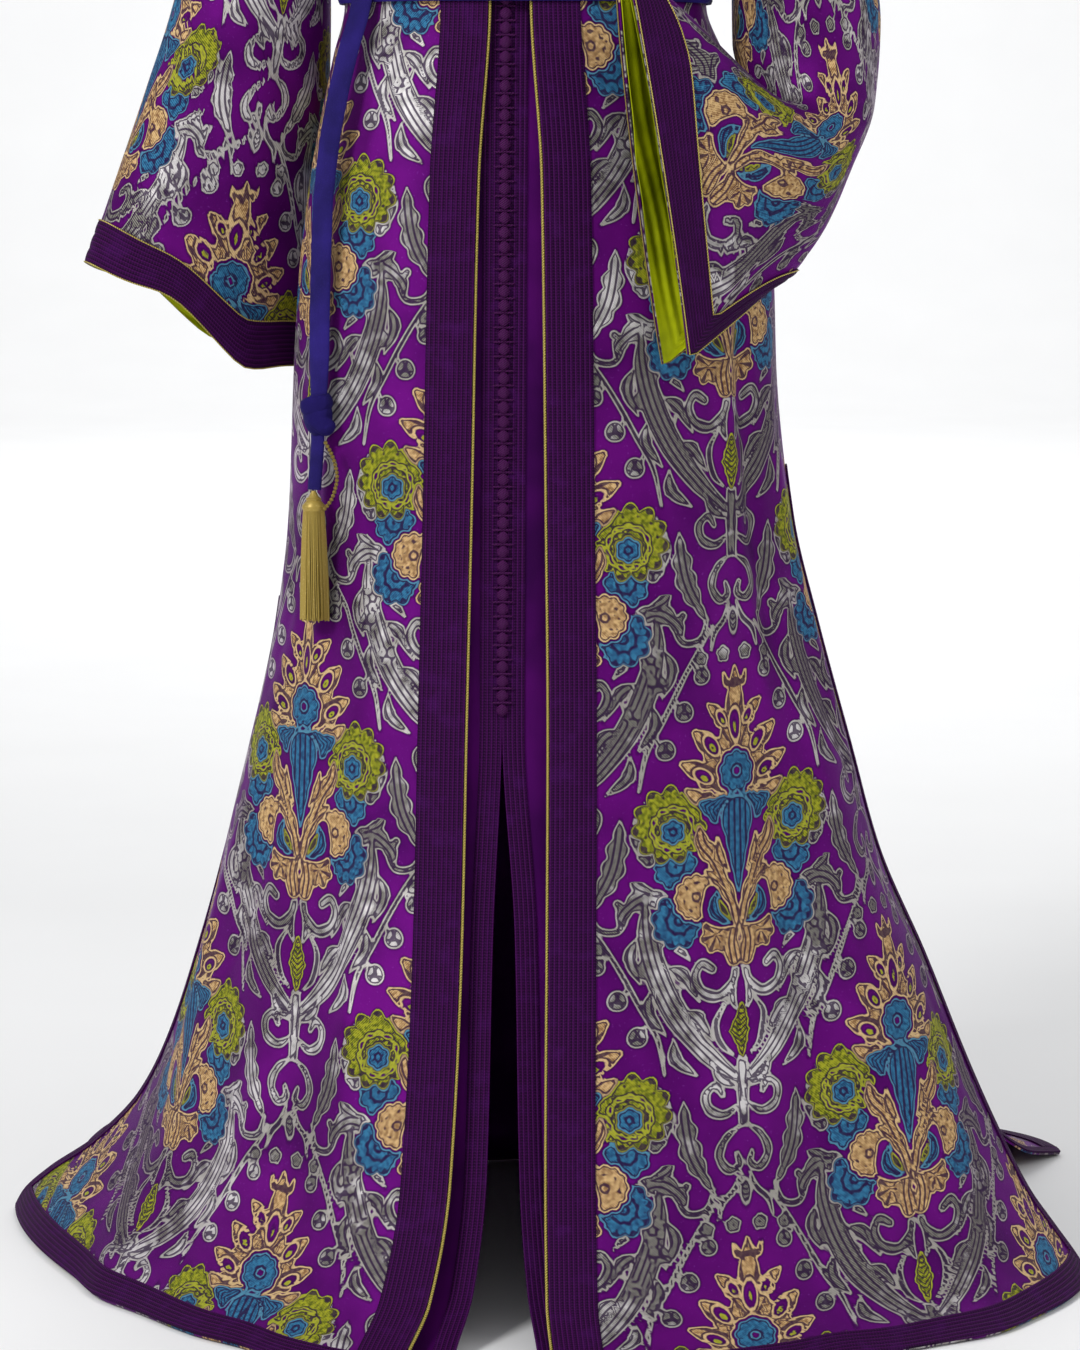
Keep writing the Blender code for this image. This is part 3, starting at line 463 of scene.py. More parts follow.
# %% The coat's outline
BODY = Table(
    "height left right front back",
    (0.000, 0.450, 0.466, -0.442, 0.450),
    (0.016, 0.441, 0.456, -0.398, 0.395),
    (0.037, 0.418, 0.440, -0.367, 0.365),
    (0.064, 0.379, 0.420, -0.345, 0.343),
    (0.108, 0.337, 0.397, -0.316, 0.318),
    (0.161, 0.310, 0.373, -0.287, 0.293),
    (0.250, 0.280, 0.337, -0.248, 0.262),
    (0.337, 0.255, 0.299, -0.218, 0.237),
    (0.424, 0.232, 0.275, -0.192, 0.215),
    (0.528, 0.209, 0.2465, -0.168, 0.195),
    (0.617, 0.199, 0.225, -0.154, 0.180),
    (0.740, 0.195, 0.211, -0.143, 0.164),
    (0.820, 0.190, 0.208, -0.138, 0.152),
    (0.900, 0.180, 0.196, -0.133, 0.138),
    (1.000, 0.160, 0.166, -0.122, 0.110),
    (1.043, 0.150, 0.150, -0.118, 0.098),
    (1.100, 0.150, 0.150, -0.117, 0.094),
    (1.170, 0.175, 0.175, -0.126, 0.102),
    (1.240, 0.187, 0.187, -0.134, 0.110),
    (1.300, 0.193, 0.193, -0.127, 0.110),
    (1.430, 0.195, 0.195, -0.098, 0.088),
)
# How square the outline is between front and side, and where the front panels' side edges hang.
CURVE = Table(
    "height power_left power_right side_left side_right",
    (0.00, 1.50, 1.85, 0.050, -0.157),
    (0.10, 1.62, 1.85, 0.035, -0.105),
    (0.20, 1.75, 1.90, 0.022, -0.065),
    (0.40, 1.95, 2.00, 0.006, -0.015),
    (0.66, 2.15, 2.15, 0.000, 0.000),
    (1.43, 2.30, 2.30, 0.000, 0.000),
)
print("the hem reaches", BODY.at("left", 0.0), "to the left and", BODY.at("right", 0.0), "to the right")

# %% [markdown]
# Cloth panels end at edges that hang in their own lines: the coat's two fronts part from the neck to the floor, the
# back's corners swing away below the side slits, and the underdress opens below its last button. These tables say
# where each edge hangs, how far the underdress keeps inside the coat, and where the armhole's edge is.

# %% The panels' edges
# How far the back panel's side edges stand off those of the fronts, below the slits' tops.
SPREAD = Table(
    "height left_x left_y right_x right_y",
    (0.00, -0.050, 0.170, 0.034, 0.387),
    (0.02, -0.036, 0.135, 0.000, 0.310),
    (0.05, -0.027, 0.100, -0.012, 0.270),
    (0.10, -0.021, 0.075, -0.017, 0.210),
    (0.20, -0.015, 0.050, -0.013, 0.132),
    (0.40, -0.006, 0.020, -0.005, 0.042),
    (0.55, 0.000, 0.000, -0.002, 0.015),
    (0.66, 0.000, 0.000, 0.000, 0.000),
)
# Where the coat's two front edges hang, and the underdress's, which part below the last button.
EDGES = Table(
    "height coat_left coat_right under_left under_right",
    (0.00, -0.1000, 0.0250, -0.0570, 0.0120),
    (0.04, -0.0753, 0.0190, -0.0400, 0.0020),
    (0.12, -0.0605, 0.0180, -0.0300, -0.0045),
    (0.30, -0.0521, 0.0192, -0.0255, -0.0085),
    (0.46, -0.0490, 0.0200, -0.0187, -0.0187),
    (0.63, -0.0451, 0.0185, -0.0180, -0.0180),
    (0.90, -0.0389, 0.0152, -0.0163, -0.0163),
    (1.05, -0.0296, 0.0064, -0.0152, -0.0152),
    (1.17, -0.0320, 0.0100, -0.0120, -0.0120),
    (1.30, -0.0440, 0.0300, -0.0070, -0.0070),
    (1.36, -0.0600, 0.0500, -0.0030, -0.0030),
    (1.43, -0.0875, 0.0875, 0.0000, 0.0000),
)
# How far the underdress hangs inside the coat.
UNDER_GAP = Table(
    "height side front back",
    (0.00, 0.150, 0.028, 0.240),
    (0.12, 0.090, 0.020, 0.110),
    (0.30, 0.050, 0.016, 0.060),
    (0.63, 0.016, 0.011, 0.022),
    (0.90, 0.010, 0.009, 0.012),
    (1.07, 0.006, 0.008, 0.006),
    (1.24, 0.005, 0.005, 0.005),
    (1.43, 0.003, 0.004, 0.004),
)
# The armhole's edge seen from the front.
ARMHOLE = Table(
    "height x",
    (1.1700, 0.175),
    (1.2050, 0.165),
    (1.2600, 0.156),
    (1.3200, 0.157),
    (1.3994, 0.175),
)

print("the front edges at the hem:", EDGES.at("coat_left", 0.0), EDGES.at("coat_right", 0.0))

# %% [markdown]
# A layer is one surface round the wearer. Above the underarm its rows run from the centre to the armhole, and
# below it they are level ovals, squarer or rounder by a power. The coat and the underdress are two such layers.

# %% Layers
SHOULDER_SLOPE = 0.35
SHOULDER_ROUND = 0.09
SHOULDER_X = 0.175
COAT_NECK_X = 0.0875
UNDER_NECK_X = 0.070
BACK_NECK_DROP = 0.020
UNDER_FRONT_NECK_DROP = 0.065
UNDER_BACK_NECK_DROP = 0.008
COAT_THICK = 0.0016
UNDER_THICK = 0.0012
BAND_THICK = 0.0012
LINING_THICK = 0.0010
SEAM = 0.0003
SHOULDER_DROP = (COAT_THICK + SEAM) * math.hypot(1, SHOULDER_SLOPE)
UNDER_NECK_SINK = 0.007
UNDERARM = 1.17
HEM_RISE = 0.003
CURVE_SAMPLES = 161
QUARTER_TURN = np.linspace(0, math.pi / 2, CURVE_SAMPLES)
SIGN = {"left": -1, "right": 1}
ARM_STEPS = 36
ARM_SHARES = (1 - np.cos(np.linspace(0, math.pi, ARM_STEPS + 1))) / 2


def ridge(x, inside):
    """Height of the shoulder line. The underdress touches the coat at the shoulders' ends and sinks to the neck."""
    outward = np.clip((np.abs(x) - UNDER_NECK_X) / (SHOULDER_X - UNDER_NECK_X), 0, 1)
    sunk = inside * (SHOULDER_DROP + UNDER_NECK_SINK * (1 - outward))
    return SHOULDER_HEIGHT - sunk - SHOULDER_SLOPE * np.maximum(np.abs(x) - COAT_NECK_X, 0)


class Layer:
    """One layer of the garment, the coat or the underdress, as a surface round the wearer."""

    def __init__(self, inside):
        self.inside = inside
        self.drop = inside * SHOULDER_DROP
        self.neck_x = UNDER_NECK_X if inside else COAT_NECK_X
        self.back_neck_drop = UNDER_BACK_NECK_DROP if inside else BACK_NECK_DROP
        self.shoulder_x = SHOULDER_X - self.drop
        self.edge = "under_" if inside else "coat_"

    def reach(self, side, height):
        """How far the layer reaches sideways."""
        return BODY.at(side, height) - self.inside * UNDER_GAP.at("side", height)

    def depth(self, face, height):
        gap = self.inside * UNDER_GAP.at(face, height)
        return BODY.at(face, height) + (gap if face == "front" else -gap)

    def armhole(self, height):
        return ARMHOLE.at("x", height + self.drop) - self.drop

    def side_y(self, side, height):
        return CURVE.at("side_" + side, height) * (1 - self.inside)

    def power(self, side, height):
        return CURVE.at("power_" + side, height)

    def bow(self, side, face, x, height, centre):
        """How far the bodice stands out at a place seen from the front or back."""
        sign = SIGN[side]
        power = self.power(side, height)
        share = np.clip((x - centre) / (sign * self.reach(side, height) - centre), 0, 1)
        lens = (1 - share**power) ** (1 / power)
        below = np.clip((ridge(x, self.inside) - height) / SHOULDER_ROUND, 0, 1)
        return self.depth(face, height) * lens * np.sqrt(1 - (1 - below) ** 2)

    def top_height(self, x, face):
        """Height of the panel's upper edge: the shoulder seam and the neckline."""
        height = ridge(x, self.inside)
        if face == "front" and not self.inside:
            return height
        dip = UNDER_FRONT_NECK_DROP if face == "front" else self.back_neck_drop
        share = np.clip(np.abs(x) / self.neck_x, 0, 1)
        return height - dip * (1 - share**2) ** (1 if face == "front" else 2)

    def shares(self, side, height):
        return np.sin(QUARTER_TURN) ** (2 / self.power(side, height))

    def bodice_row(self, side, face, step):
        """One row between the shoulder and the underarm, from the centre to the armhole."""
        sign = SIGN[side]
        share = self.shares(side, UNDERARM)
        start = sign * self.neck_x if face == "front" and not self.inside else 0.0
        top_x = start + (sign * self.shoulder_x - start) * share
        height = (1 - step) * self.top_height(top_x, face) + step * UNDERARM
        first = EDGES.at(self.edge + side, height[0]) if face == "front" else 0.0
        last = sign * self.armhole(height[-1])
        x = first + (last - first) * share
        middle = EDGES.at(self.edge + side, height) if face == "front" else 0.0 * height
        return world(x, self.bow(side, face, x, height, middle), height)

    def section_row(self, side, face, height):
        """One level row below the underarm, from the centre to the side edge."""
        sign = SIGN[side]
        power = self.power(side, height)
        first = EDGES.at(self.edge + side, height) if face == "front" else 0.0
        last = sign * self.reach(side, height)
        side_y = self.side_y(side, height)
        if face == "back" and not self.inside:
            last = last + sign * SPREAD.at(side + "_x", height)
            side_y = side_y + SPREAD.at(side + "_y", height)
            power = max(power, 2.0)
        x = first + (last - first) * np.sin(QUARTER_TURN) ** (2 / power)
        y = side_y + (self.depth(face, height) - side_y) * np.cos(QUARTER_TURN) ** (2 / power)
        return world(x, y, np.full_like(x, height))

    def rows(self, side, face, heights):
        lines = [self.bodice_row(side, face, step) for step in ARM_SHARES[:-1]]
        return lines + [self.section_row(side, face, height) for height in heights]


COAT = Layer(0)
UNDER = Layer(1)
print("at the hem the coat reaches", COAT.reach("left", 0.0), "and the underdress", UNDER.reach("left", 0.0))

# %% [markdown]
# A panel is cut as one piece: trimmings at its two side edges keep their own width, and the cloth between is even.
# Below the waist the rows are spaced down each column, so that the band at the hem stays as wide as it is sewn.

# %% Laying a panel out
BELT_FOOT = 1.043
LEVEL_ROWS = 18
FRONT_BAND = 0.038
SLIT_BAND = 0.018
HEM_BAND = 0.026
WAIST_STEP = 0.01
WAIST_ROWS = 4
TINY = 1e-12
FALL_HEIGHTS = np.concatenate(
    [np.linspace(BELT_FOOT, 0.2, 130), np.linspace(0.2, 0.05, 60)[1:], np.linspace(0.05, HEM_RISE, 70)[1:]]
)


def spread_places(total, first, last, counts):
    """Places across a row: so many steps over the first trimming, the middle and the last trimming."""
    bounds = (0.0, first, total - last, total)
    parts = [np.linspace(low, high, count + 1)[1:] for low, high, count in zip(bounds, bounds[1:], counts)]
    return np.concatenate([[0.0], *parts])


def panel_grid(build, first, last, counts, fall_rows, band_rows):
    """A panel's points: its trimmings' widths at both edges, and its rows spaced down each column."""
    heights = np.concatenate([np.linspace(UNDERARM, BELT_FOOT, LEVEL_ROWS + 1), FALL_HEIGHTS[1:]])
    grid = np.array([read_line(line, spread_places(lengths(line)[-1], first, last, counts)) for line in build(heights)])
    waist = ARM_STEPS + LEVEL_ROWS
    down = (WAIST_ROWS, fall_rows - WAIST_ROWS, band_rows)
    fall = []
    for column in range(grid.shape[1]):
        line = grid[waist:, column]
        fall.append(read_line(line, spread_places(lengths(line)[-1], WAIST_STEP, HEM_BAND, down)))
    return np.concatenate([grid[: waist + 1], np.stack(fall, axis=1)[1:]])


def drawn(start, towards, distance):
    """Steps of one length from some points towards others."""
    step = towards - start
    return step / np.linalg.norm(step, axis=1, keepdims=True) * distance


def normals_of(points, centre, ring=False):
    """Outward normals of a grid of points: the mean over the faces that meet at each."""
    closed = closed_round(points) if ring else points
    face = np.cross(closed[1:, 1:] - closed[:-1, :-1], closed[:-1, 1:] - closed[1:, :-1])
    face /= np.maximum(np.linalg.norm(face, axis=2, keepdims=True), TINY)
    normal = np.zeros_like(closed)
    for rows in (slice(None, -1), slice(1, None)):
        for columns in (slice(None, -1), slice(1, None)):
            normal[rows, columns] += face
    if ring:
        normal[:, 0] += normal[:, -1]
        normal = normal[:, :-1]
    normal /= np.maximum(np.linalg.norm(normal, axis=2, keepdims=True), TINY)
    return normal if np.mean(np.sum(normal * (points - centre), axis=2)) > 0 else -normal


class Cloth:
    """A panel's grid of points, its outward normals, and each point's place across and along the cloth."""

    def __init__(self, points, normals, across=None, along=None):
        self.points = points
        self.normals = normals
        self.across = np.array([lengths(row) for row in points]) if across is None else across
        if along is None:
            along = np.array([lengths(points[:, column]) for column in range(points.shape[1])]).T
        self.along = along

    def part(self, rows, columns):
        return Cloth(*(kept[rows, columns].copy() for kept in (self.points, self.normals, self.across, self.along)))

    def trimmed(self, top=0.0, foot=0.0, first=0.0, last=0.0):
        """The same cloth with its edges drawn back, which leaves a seam's clearance."""
        points = self.points.copy()
        points[0] += drawn(self.points[0], self.points[1], top)
        points[-1] += drawn(self.points[-1], self.points[-2], foot)
        points[:, 0] += drawn(self.points[:, 0], self.points[:, 1], first)
        points[:, -1] += drawn(self.points[:, -1], self.points[:, -2], last)
        return Cloth(points, self.normals, self.across, self.along)

    def finer(self, rows, columns):
        """The same surface read at other numbers of rows and columns."""
        parts = []
        for kept in (self.points, self.normals, self.across[..., None], self.along[..., None]):
            for axis, count in ((0, rows), (1, columns)):
                places = np.linspace(0, kept.shape[axis] - 1, count + 1) if count else np.arange(kept.shape[axis])
                low = np.minimum(places.astype(int), kept.shape[axis] - 2)
                part = (places - low).reshape((-1, 1, 1) if axis == 0 else (1, -1, 1))
                kept = np.take(kept, low, axis) * (1 - part) + np.take(kept, low + 1, axis) * part
            parts.append(kept)
        normals = parts[1] / np.linalg.norm(parts[1], axis=2, keepdims=True)
        return Cloth(parts[0], normals, parts[2][..., 0], parts[3][..., 0])

    def uv(self):
        return np.stack([self.across, -self.along], axis=2)


def axis_of(points):
    return points * np.array([0.0, 0.0, 1.0])


print("rows from the shoulder to the belt's foot:", ARM_STEPS + LEVEL_ROWS)

# %% [markdown]
# Folds are what makes a flat panel look like hanging cloth. The deep ones start below the hips and open towards the
# hem. The small ones are creases: short, uneven troughs and ridges where the cloth is pulled by the belt and arms.

# %% Folds and creases
FOLDS = {
    "front_left": (
        # top_u, top_height, foot_u, foot_height, half_width, depth
        (0.105, 0.90, 0.150, 0.16, 0.034, -0.007),
        (0.180, 0.80, 0.330, 0.06, 0.040, 0.008),
    ),
    "front_right": (
        (0.100, 0.92, 0.105, 0.12, 0.040, 0.006),
        (0.165, 0.90, 0.225, 0.10, 0.032, -0.009),
        (0.200, 0.62, 0.370, 0.05, 0.040, 0.007),
    ),
}
BACK_FLUTES = Table(
    "height depth",
    (0.00, 0.022),
    (0.25, 0.016),
    (0.70, 0.006),
    (0.98, 0.000),
    (1.43, 0.000),
)
BACK_FLUTE_COUNT = 3
# Creases: the share of the way across and the height of each end, then the half width and the depth in metres.
CREASES = {
    "front_left": (
        (0.34, 1.04, 0.46, 0.93, 0.0060, -0.0016), (0.52, 1.04, 0.66, 0.95, 0.0070, -0.0020),
        (0.74, 1.03, 0.82, 0.90, 0.0065, -0.0016), (0.40, 0.99, 0.50, 0.80, 0.0090, 0.0016),
        (0.86, 0.86, 0.58, 0.79, 0.0080, -0.0016), (0.90, 0.78, 0.62, 0.70, 0.0090, -0.0018),
        (0.30, 0.64, 0.52, 0.50, 0.0100, -0.0018), (0.66, 0.60, 0.84, 0.46, 0.0090, -0.0016),
        (0.36, 0.42, 0.30, 0.22, 0.0110, -0.0022), (0.60, 0.40, 0.68, 0.16, 0.0120, -0.0026),
        (0.84, 0.34, 0.90, 0.14, 0.0110, -0.0022), (0.48, 0.22, 0.44, 0.06, 0.0100, 0.0022),
        (0.22, 0.15, 0.60, 0.11, 0.0075, -0.0018), (0.50, 0.30, 0.76, 0.26, 0.0080, -0.0012),
        (0.34, 1.16, 0.56, 1.11, 0.0080, -0.0024), (0.62, 1.17, 0.72, 1.11, 0.0080, -0.0024),
        (0.46, 1.24, 0.92, 1.20, 0.0090, -0.0022), (0.40, 1.32, 0.84, 1.24, 0.0100, -0.0018),
        (0.54, 0.95, 0.56, 0.42, 0.0100, 0.0036), (0.615, 0.95, 0.64, 0.42, 0.0100, -0.0034),
        (0.72, 0.50, 0.80, 0.12, 0.0130, 0.0038), (0.28, 0.36, 0.22, 0.14, 0.0120, 0.0032),
    ),
    "front_right": (
        (0.32, 1.04, 0.40, 0.94, 0.0060, -0.0018), (0.50, 1.04, 0.60, 0.90, 0.0070, -0.0022),
        (0.66, 1.04, 0.78, 0.96, 0.0060, -0.0016), (0.82, 1.02, 0.86, 0.88, 0.0070, -0.0018),
        (0.44, 0.97, 0.52, 0.78, 0.0100, 0.0018), (0.62, 0.92, 0.70, 0.66, 0.0100, -0.0026),
        (0.92, 0.84, 0.66, 0.76, 0.0080, -0.0016), (0.94, 0.74, 0.72, 0.64, 0.0090, -0.0018),
        (0.24, 0.70, 0.46, 0.60, 0.0090, -0.0014), (0.30, 0.52, 0.62, 0.42, 0.0110, -0.0020),
        (0.76, 0.56, 0.88, 0.36, 0.0100, -0.0022), (0.20, 0.245, 0.42, 0.222, 0.0060, -0.0022),
        (0.24, 0.215, 0.50, 0.235, 0.0060, -0.0018), (0.56, 0.34, 0.50, 0.14, 0.0120, -0.0024),
        (0.70, 0.30, 0.78, 0.10, 0.0110, -0.0026), (0.36, 0.18, 0.30, 0.05, 0.0100, 0.0020),
        (0.88, 0.26, 0.92, 0.10, 0.0100, -0.0020), (0.46, 0.10, 0.70, 0.07, 0.0075, -0.0014),
        (0.36, 1.16, 0.54, 1.11, 0.0080, -0.0024), (0.64, 1.16, 0.78, 1.11, 0.0080, -0.0022),
        (0.48, 1.25, 0.90, 1.21, 0.0090, -0.0022), (0.42, 1.33, 0.82, 1.25, 0.0100, -0.0018),
        (0.57, 1.00, 0.60, 0.36, 0.0110, 0.0046), (0.645, 1.00, 0.675, 0.36, 0.0100, -0.0034),
        (0.80, 0.80, 0.90, 0.30, 0.0130, 0.0036), (0.16, 0.235, 0.34, 0.205, 0.0060, 0.0026),
    ),
    "back": (
        (0.20, 1.04, 0.14, 0.90, 0.0090, -0.0022), (0.34, 1.04, 0.30, 0.86, 0.0090, -0.0026),
        (0.50, 1.04, 0.50, 0.84, 0.0100, -0.0024), (0.66, 1.04, 0.70, 0.88, 0.0090, -0.0026),
        (0.80, 1.04, 0.86, 0.92, 0.0090, -0.0022), (0.10, 0.84, 0.30, 0.76, 0.0100, -0.0018),
        (0.90, 0.82, 0.68, 0.73, 0.0100, -0.0018), (0.26, 0.60, 0.20, 0.30, 0.0140, -0.0028),
        (0.42, 0.54, 0.40, 0.20, 0.0150, -0.0030), (0.60, 0.58, 0.64, 0.24, 0.0140, -0.0028),
        (0.78, 0.52, 0.84, 0.18, 0.0140, -0.0028), (0.34, 1.17, 0.44, 1.11, 0.0100, -0.0026),
        (0.56, 1.17, 0.64, 1.11, 0.0100, -0.0024), (0.16, 1.24, 0.40, 1.19, 0.0110, -0.0022),
        (0.84, 1.25, 0.62, 1.20, 0.0110, -0.0022), (0.12, 0.16, 0.30, 0.10, 0.0120, -0.0020),
        (0.88, 0.18, 0.70, 0.11, 0.0120, -0.0020), (0.48, 0.16, 0.56, 0.05, 0.0120, 0.0022),
    ),
}


# How far from a side edge folds and creases have their whole depth, as shares of the width.
FOLD_FADE = 0.12
CREASE_FADE = 0.08
BACK_CREASE_FADE = 0.06


def panel_places(points):
    """Each point's height, its way across the panel, and that way as a share of the whole."""
    across = np.array([lengths(row) for row in points])
    return points[:, :, 2] + SHOULDER_HEIGHT, across, across / across[:, -1:]


def crease(away_u, away_v, step_u, step_v, half_width, depth):
    """A trough or a ridge along one step, which fades at both of its ends."""
    run = (away_u * step_u + away_v * step_v) / (step_u**2 + step_v**2)
    off = np.hypot(away_u - run * step_u, away_v - run * step_v)
    return depth * np.sin(np.clip(run, 0, 1) * math.pi) ** 0.8 * np.exp(-((off / half_width) ** 2))


def fold_depth(name, points):
    """How far the named panel's folds move each point in or out."""
    height, u, share = panel_places(points)
    if name == "back":
        wave = np.cos(2 * math.pi * BACK_FLUTE_COUNT * share) - 1
        return BACK_FLUTES.at("depth", height) * wave / 2
    moved = np.zeros_like(height)
    for top_u, top_height, foot_u, foot_height, half_width, depth in FOLDS[name]:
        run = np.clip((top_height - height) / (top_height - foot_height), 0, 1)
        line = top_u + (foot_u - top_u) * run
        moved += depth * np.sin(run * math.pi * 0.62) ** 1.5 * np.exp(-(((u - line) / half_width) ** 2))
    return moved * np.clip(u / FRONT_BAND - 1, 0, 1) * np.clip((1 - share) / FOLD_FADE, 0, 1)


def crease_depth(name, points):
    """How far the named panel's creases move each point, fading at both ends of each."""
    height, u, share = panel_places(points)
    wide = u[:, -1:]
    moved = np.zeros_like(height)
    for top_share, top_height, foot_share, foot_height, half_width, depth in CREASES[name]:
        moved += crease(
            (share - top_share) * wide, height - top_height, (foot_share - top_share) * wide,
            foot_height - top_height, half_width, depth,
        )
    edge = np.clip(share / BACK_CREASE_FADE if name == "back" else u / FRONT_BAND - 1, 0, 1)
    return moved * edge * np.clip((1 - share) / CREASE_FADE, 0, 1)


print({name: len(creases) for name, creases in CREASES.items()}, "creases")

# %% [markdown]
# The coat has two fronts and a back, joined at the shoulders and the sides and open below in slits. Along a seam
# both panels take one shared normal, so that their walls meet edge to edge and no gap shows.

# %% The coat's surface
SLIT_TOPS = {"left": 0.55, "right": 0.66}
FRONT_COUNTS = (6, 132, 3)
BACK_COUNTS = (3, 150, 3)
FALL_ROWS = 392
BACK_FALL_ROWS = 270
BAND_ROWS = 6
NEAR = 1e-6
FLATTEST = 0.3


def across_back(layer, heights):
    """Rows of a back panel, from the viewer's left side edge to the right one."""
    halves = [layer.rows(side, "back", heights) for side in ("left", "right")]
    return [np.concatenate([left[::-1], right[1:]]) for left, right in zip(*halves)]


def share_normals(cloth, fronts, back, seam_feet):
    """Sets one normal for both panels along the side seams, and at the shoulder seams."""
    for side, column in (("left", 0), ("right", -1)):
        front = cloth[fronts + side]
        own, other = front.points[:, -1, 2], cloth[back].points[:, column, 2]
        before = [front.normals[:, -1].copy(), cloth[back].normals[:, column].copy()]
        for panel, edge, here, there, mine, its in (
            (front, -1, own, other, before[0], before[1]), (cloth[back], column, other, own, before[1], before[0])
        ):
            joined = here > seam_feet[side] - SHOULDER_HEIGHT - NEAR
            its = np.stack([np.interp(here, there[::-1], its[::-1, axis]) for axis in range(3)], axis=1)
            both = (mine + its) / np.linalg.norm(mine + its, axis=1, keepdims=True)
            panel.normals[joined, edge] = both[joined]
    for panel in cloth.values():
        for column in np.flatnonzero(np.abs(panel.points[0, :, 1]) < 1e-5):
            normal = np.array([np.sign(panel.points[0, column, 0]) * SHOULDER_SLOPE, 0.0, 1.0])
            panel.normals[0, column] = normal / np.linalg.norm(normal)


coat = {}
for side in ("left", "right"):
    coat["front_" + side] = panel_grid(
        lambda heights, side=side: COAT.rows(side, "front", heights),
        FRONT_BAND, SLIT_BAND, FRONT_COUNTS, FALL_ROWS, BAND_ROWS,
    )
coat["back"] = panel_grid(
    lambda heights: across_back(COAT, heights), SLIT_BAND, SLIT_BAND, BACK_COUNTS, BACK_FALL_ROWS, BAND_ROWS
)
for name, points in coat.items():
    level = normals_of(points, axis_of(points)) * np.array([1.0, 1.0, 0.0])
    level /= np.maximum(np.linalg.norm(level, axis=2, keepdims=True), FLATTEST)
    moved = points + level * (fold_depth(name, points) + crease_depth(name, points))[:, :, None]
    coat[name] = Cloth(moved, normals_of(moved, axis_of(moved)))
    coat[name].along -= coat[name].along[ARM_STEPS + LEVEL_ROWS]
share_normals(coat, "front_", "back", SLIT_TOPS)
print({name: panel.points.shape[:2] for name, panel in coat.items()})

# %% [markdown]
# The brocade is a half-drop damask: one motif, a vase of flowers with scrolls and plumes below it, repeats down a
# column, and each next column starts half a repeat lower. It could be an image, but here it is drawn as simple
# shapes, and each point of the cloth keeps its distance to the nearest shape of each colour. The shader turns those
# distances into crisp edges and outlines, and a second number, the phase, draws veins and petals.

# %% Drawing with distances
COLOURS = ("peach", "lime", "blue", "silver")
# How far from a shape its distance is kept, and how far outside its edge it sets the phase.
FAR = 0.012
PHASE_REACH = 0.0006


class Drawing:
    """Distances to the shapes of each colour, at points whose places on the motif are x and y in metres."""

    def __init__(self, x, y):
        self.x, self.y = np.abs(x), y
        self.away = {colour: np.full(x.shape, FAR) for colour in COLOURS}
        self.phase = np.zeros(x.shape)

    def shape(self, colour, distance, phase):
        """Adds a shape: it covers what is under it. Ground is the bare cloth."""
        for kept, away in self.away.items():
            if kept == colour:
                np.minimum(away, distance, out=away)
            else:
                np.maximum(away, -distance, out=away)
        inside = distance < PHASE_REACH
        self.phase[inside] = phase[inside]

    def rosette(self, colour, x, y, radius, petals, notch=0.16, rings=0.0):
        """A round flower with scalloped petals; its veins run outwards, or ring an eye in each petal."""
        x, y, radius = x / 1000, y / 1000, radius / 1000
        away = np.hypot(self.x - x, self.y - y)
        turn = np.abs(np.arctan2(self.x - x, self.y - y))
        edge = radius * (1 - notch * (1 - np.abs(np.cos(petals * turn / 2))))
        phase = petals * turn
        if rings:
            share = np.mod(turn, 2 * math.pi / petals) - math.pi / petals
            eye = np.hypot(away * np.sin(share), away * np.cos(share) - 0.68 * radius)
            phase = 2 * math.pi * eye / rings
        self.shape(colour, away - edge, phase)

    def oval(self, colour, x, y, wide, high, tilt=0.0, veins=0.0):
        """An oval, tilted by degrees, with chevron veins so many to the metre."""
        cos, sin = math.cos(math.radians(tilt)), math.sin(math.radians(tilt))
        across = (self.x - x / 1000) * cos + (self.y - y / 1000) * sin
        along = (self.y - y / 1000) * cos - (self.x - x / 1000) * sin
        reach = np.hypot(across / (wide / 1000), along / (high / 1000))
        phase = 2 * math.pi * veins * (along - np.abs(across))
        self.shape(colour, (reach - 1) * min(wide, high) / 1000, phase)

    def stroke(self, colour, path, widths, lobes=0, notch=0.35, veins=0.0, strips=0.0):
        """A leaf or a scroll along a path of points, its half widths given at each, with lobed edges if asked.
        Its veins leave the middle at a slant, so many to the metre, or strips of a given width run along it."""
        path = np.array(path, float) / 1000
        widths = np.array(widths, float) / 1000
        number = np.arange(len(path), dtype=float)
        fine = np.linspace(0, len(path) - 1, 4 * (len(path) - 1) + 1)
        line = np.stack([round_through(path[:, axis], fine) for axis in range(2)], axis=1)
        half = np.interp(fine, number, widths)
        run = np.concatenate([[0.0], np.cumsum(np.hypot(*np.diff(line, axis=0).T))])
        best = np.full(self.x.shape, np.inf)
        along, aside = np.zeros(self.x.shape), np.zeros(self.x.shape)
        for start, end, run_start, run_end in zip(line, line[1:], run, run[1:]):
            step = end - start
            away_x, away_y = self.x - start[0], self.y - start[1]
            part = np.clip((away_x * step[0] + away_y * step[1]) / (step @ step + TINY), 0, 1)
            away = np.hypot(away_x - part * step[0], away_y - part * step[1])
            nearer = away < best
            best[nearer] = away[nearer]
            along[nearer] = (run_start + part * (run_end - run_start))[nearer]
            aside[nearer] = ((away_x * step[1] - away_y * step[0]) / (np.hypot(*step) + TINY))[nearer]
        edge = np.interp(along, run, half)
        if lobes:
            edge = edge * (1 - notch * (1 - np.abs(np.sin(math.pi * lobes * along / run[-1]))))
        phase = 2 * math.pi * veins * (along + best)
        if strips:
            phase = 2 * math.pi * (aside / strips + 0.5)
        self.shape(colour, best - edge, phase)


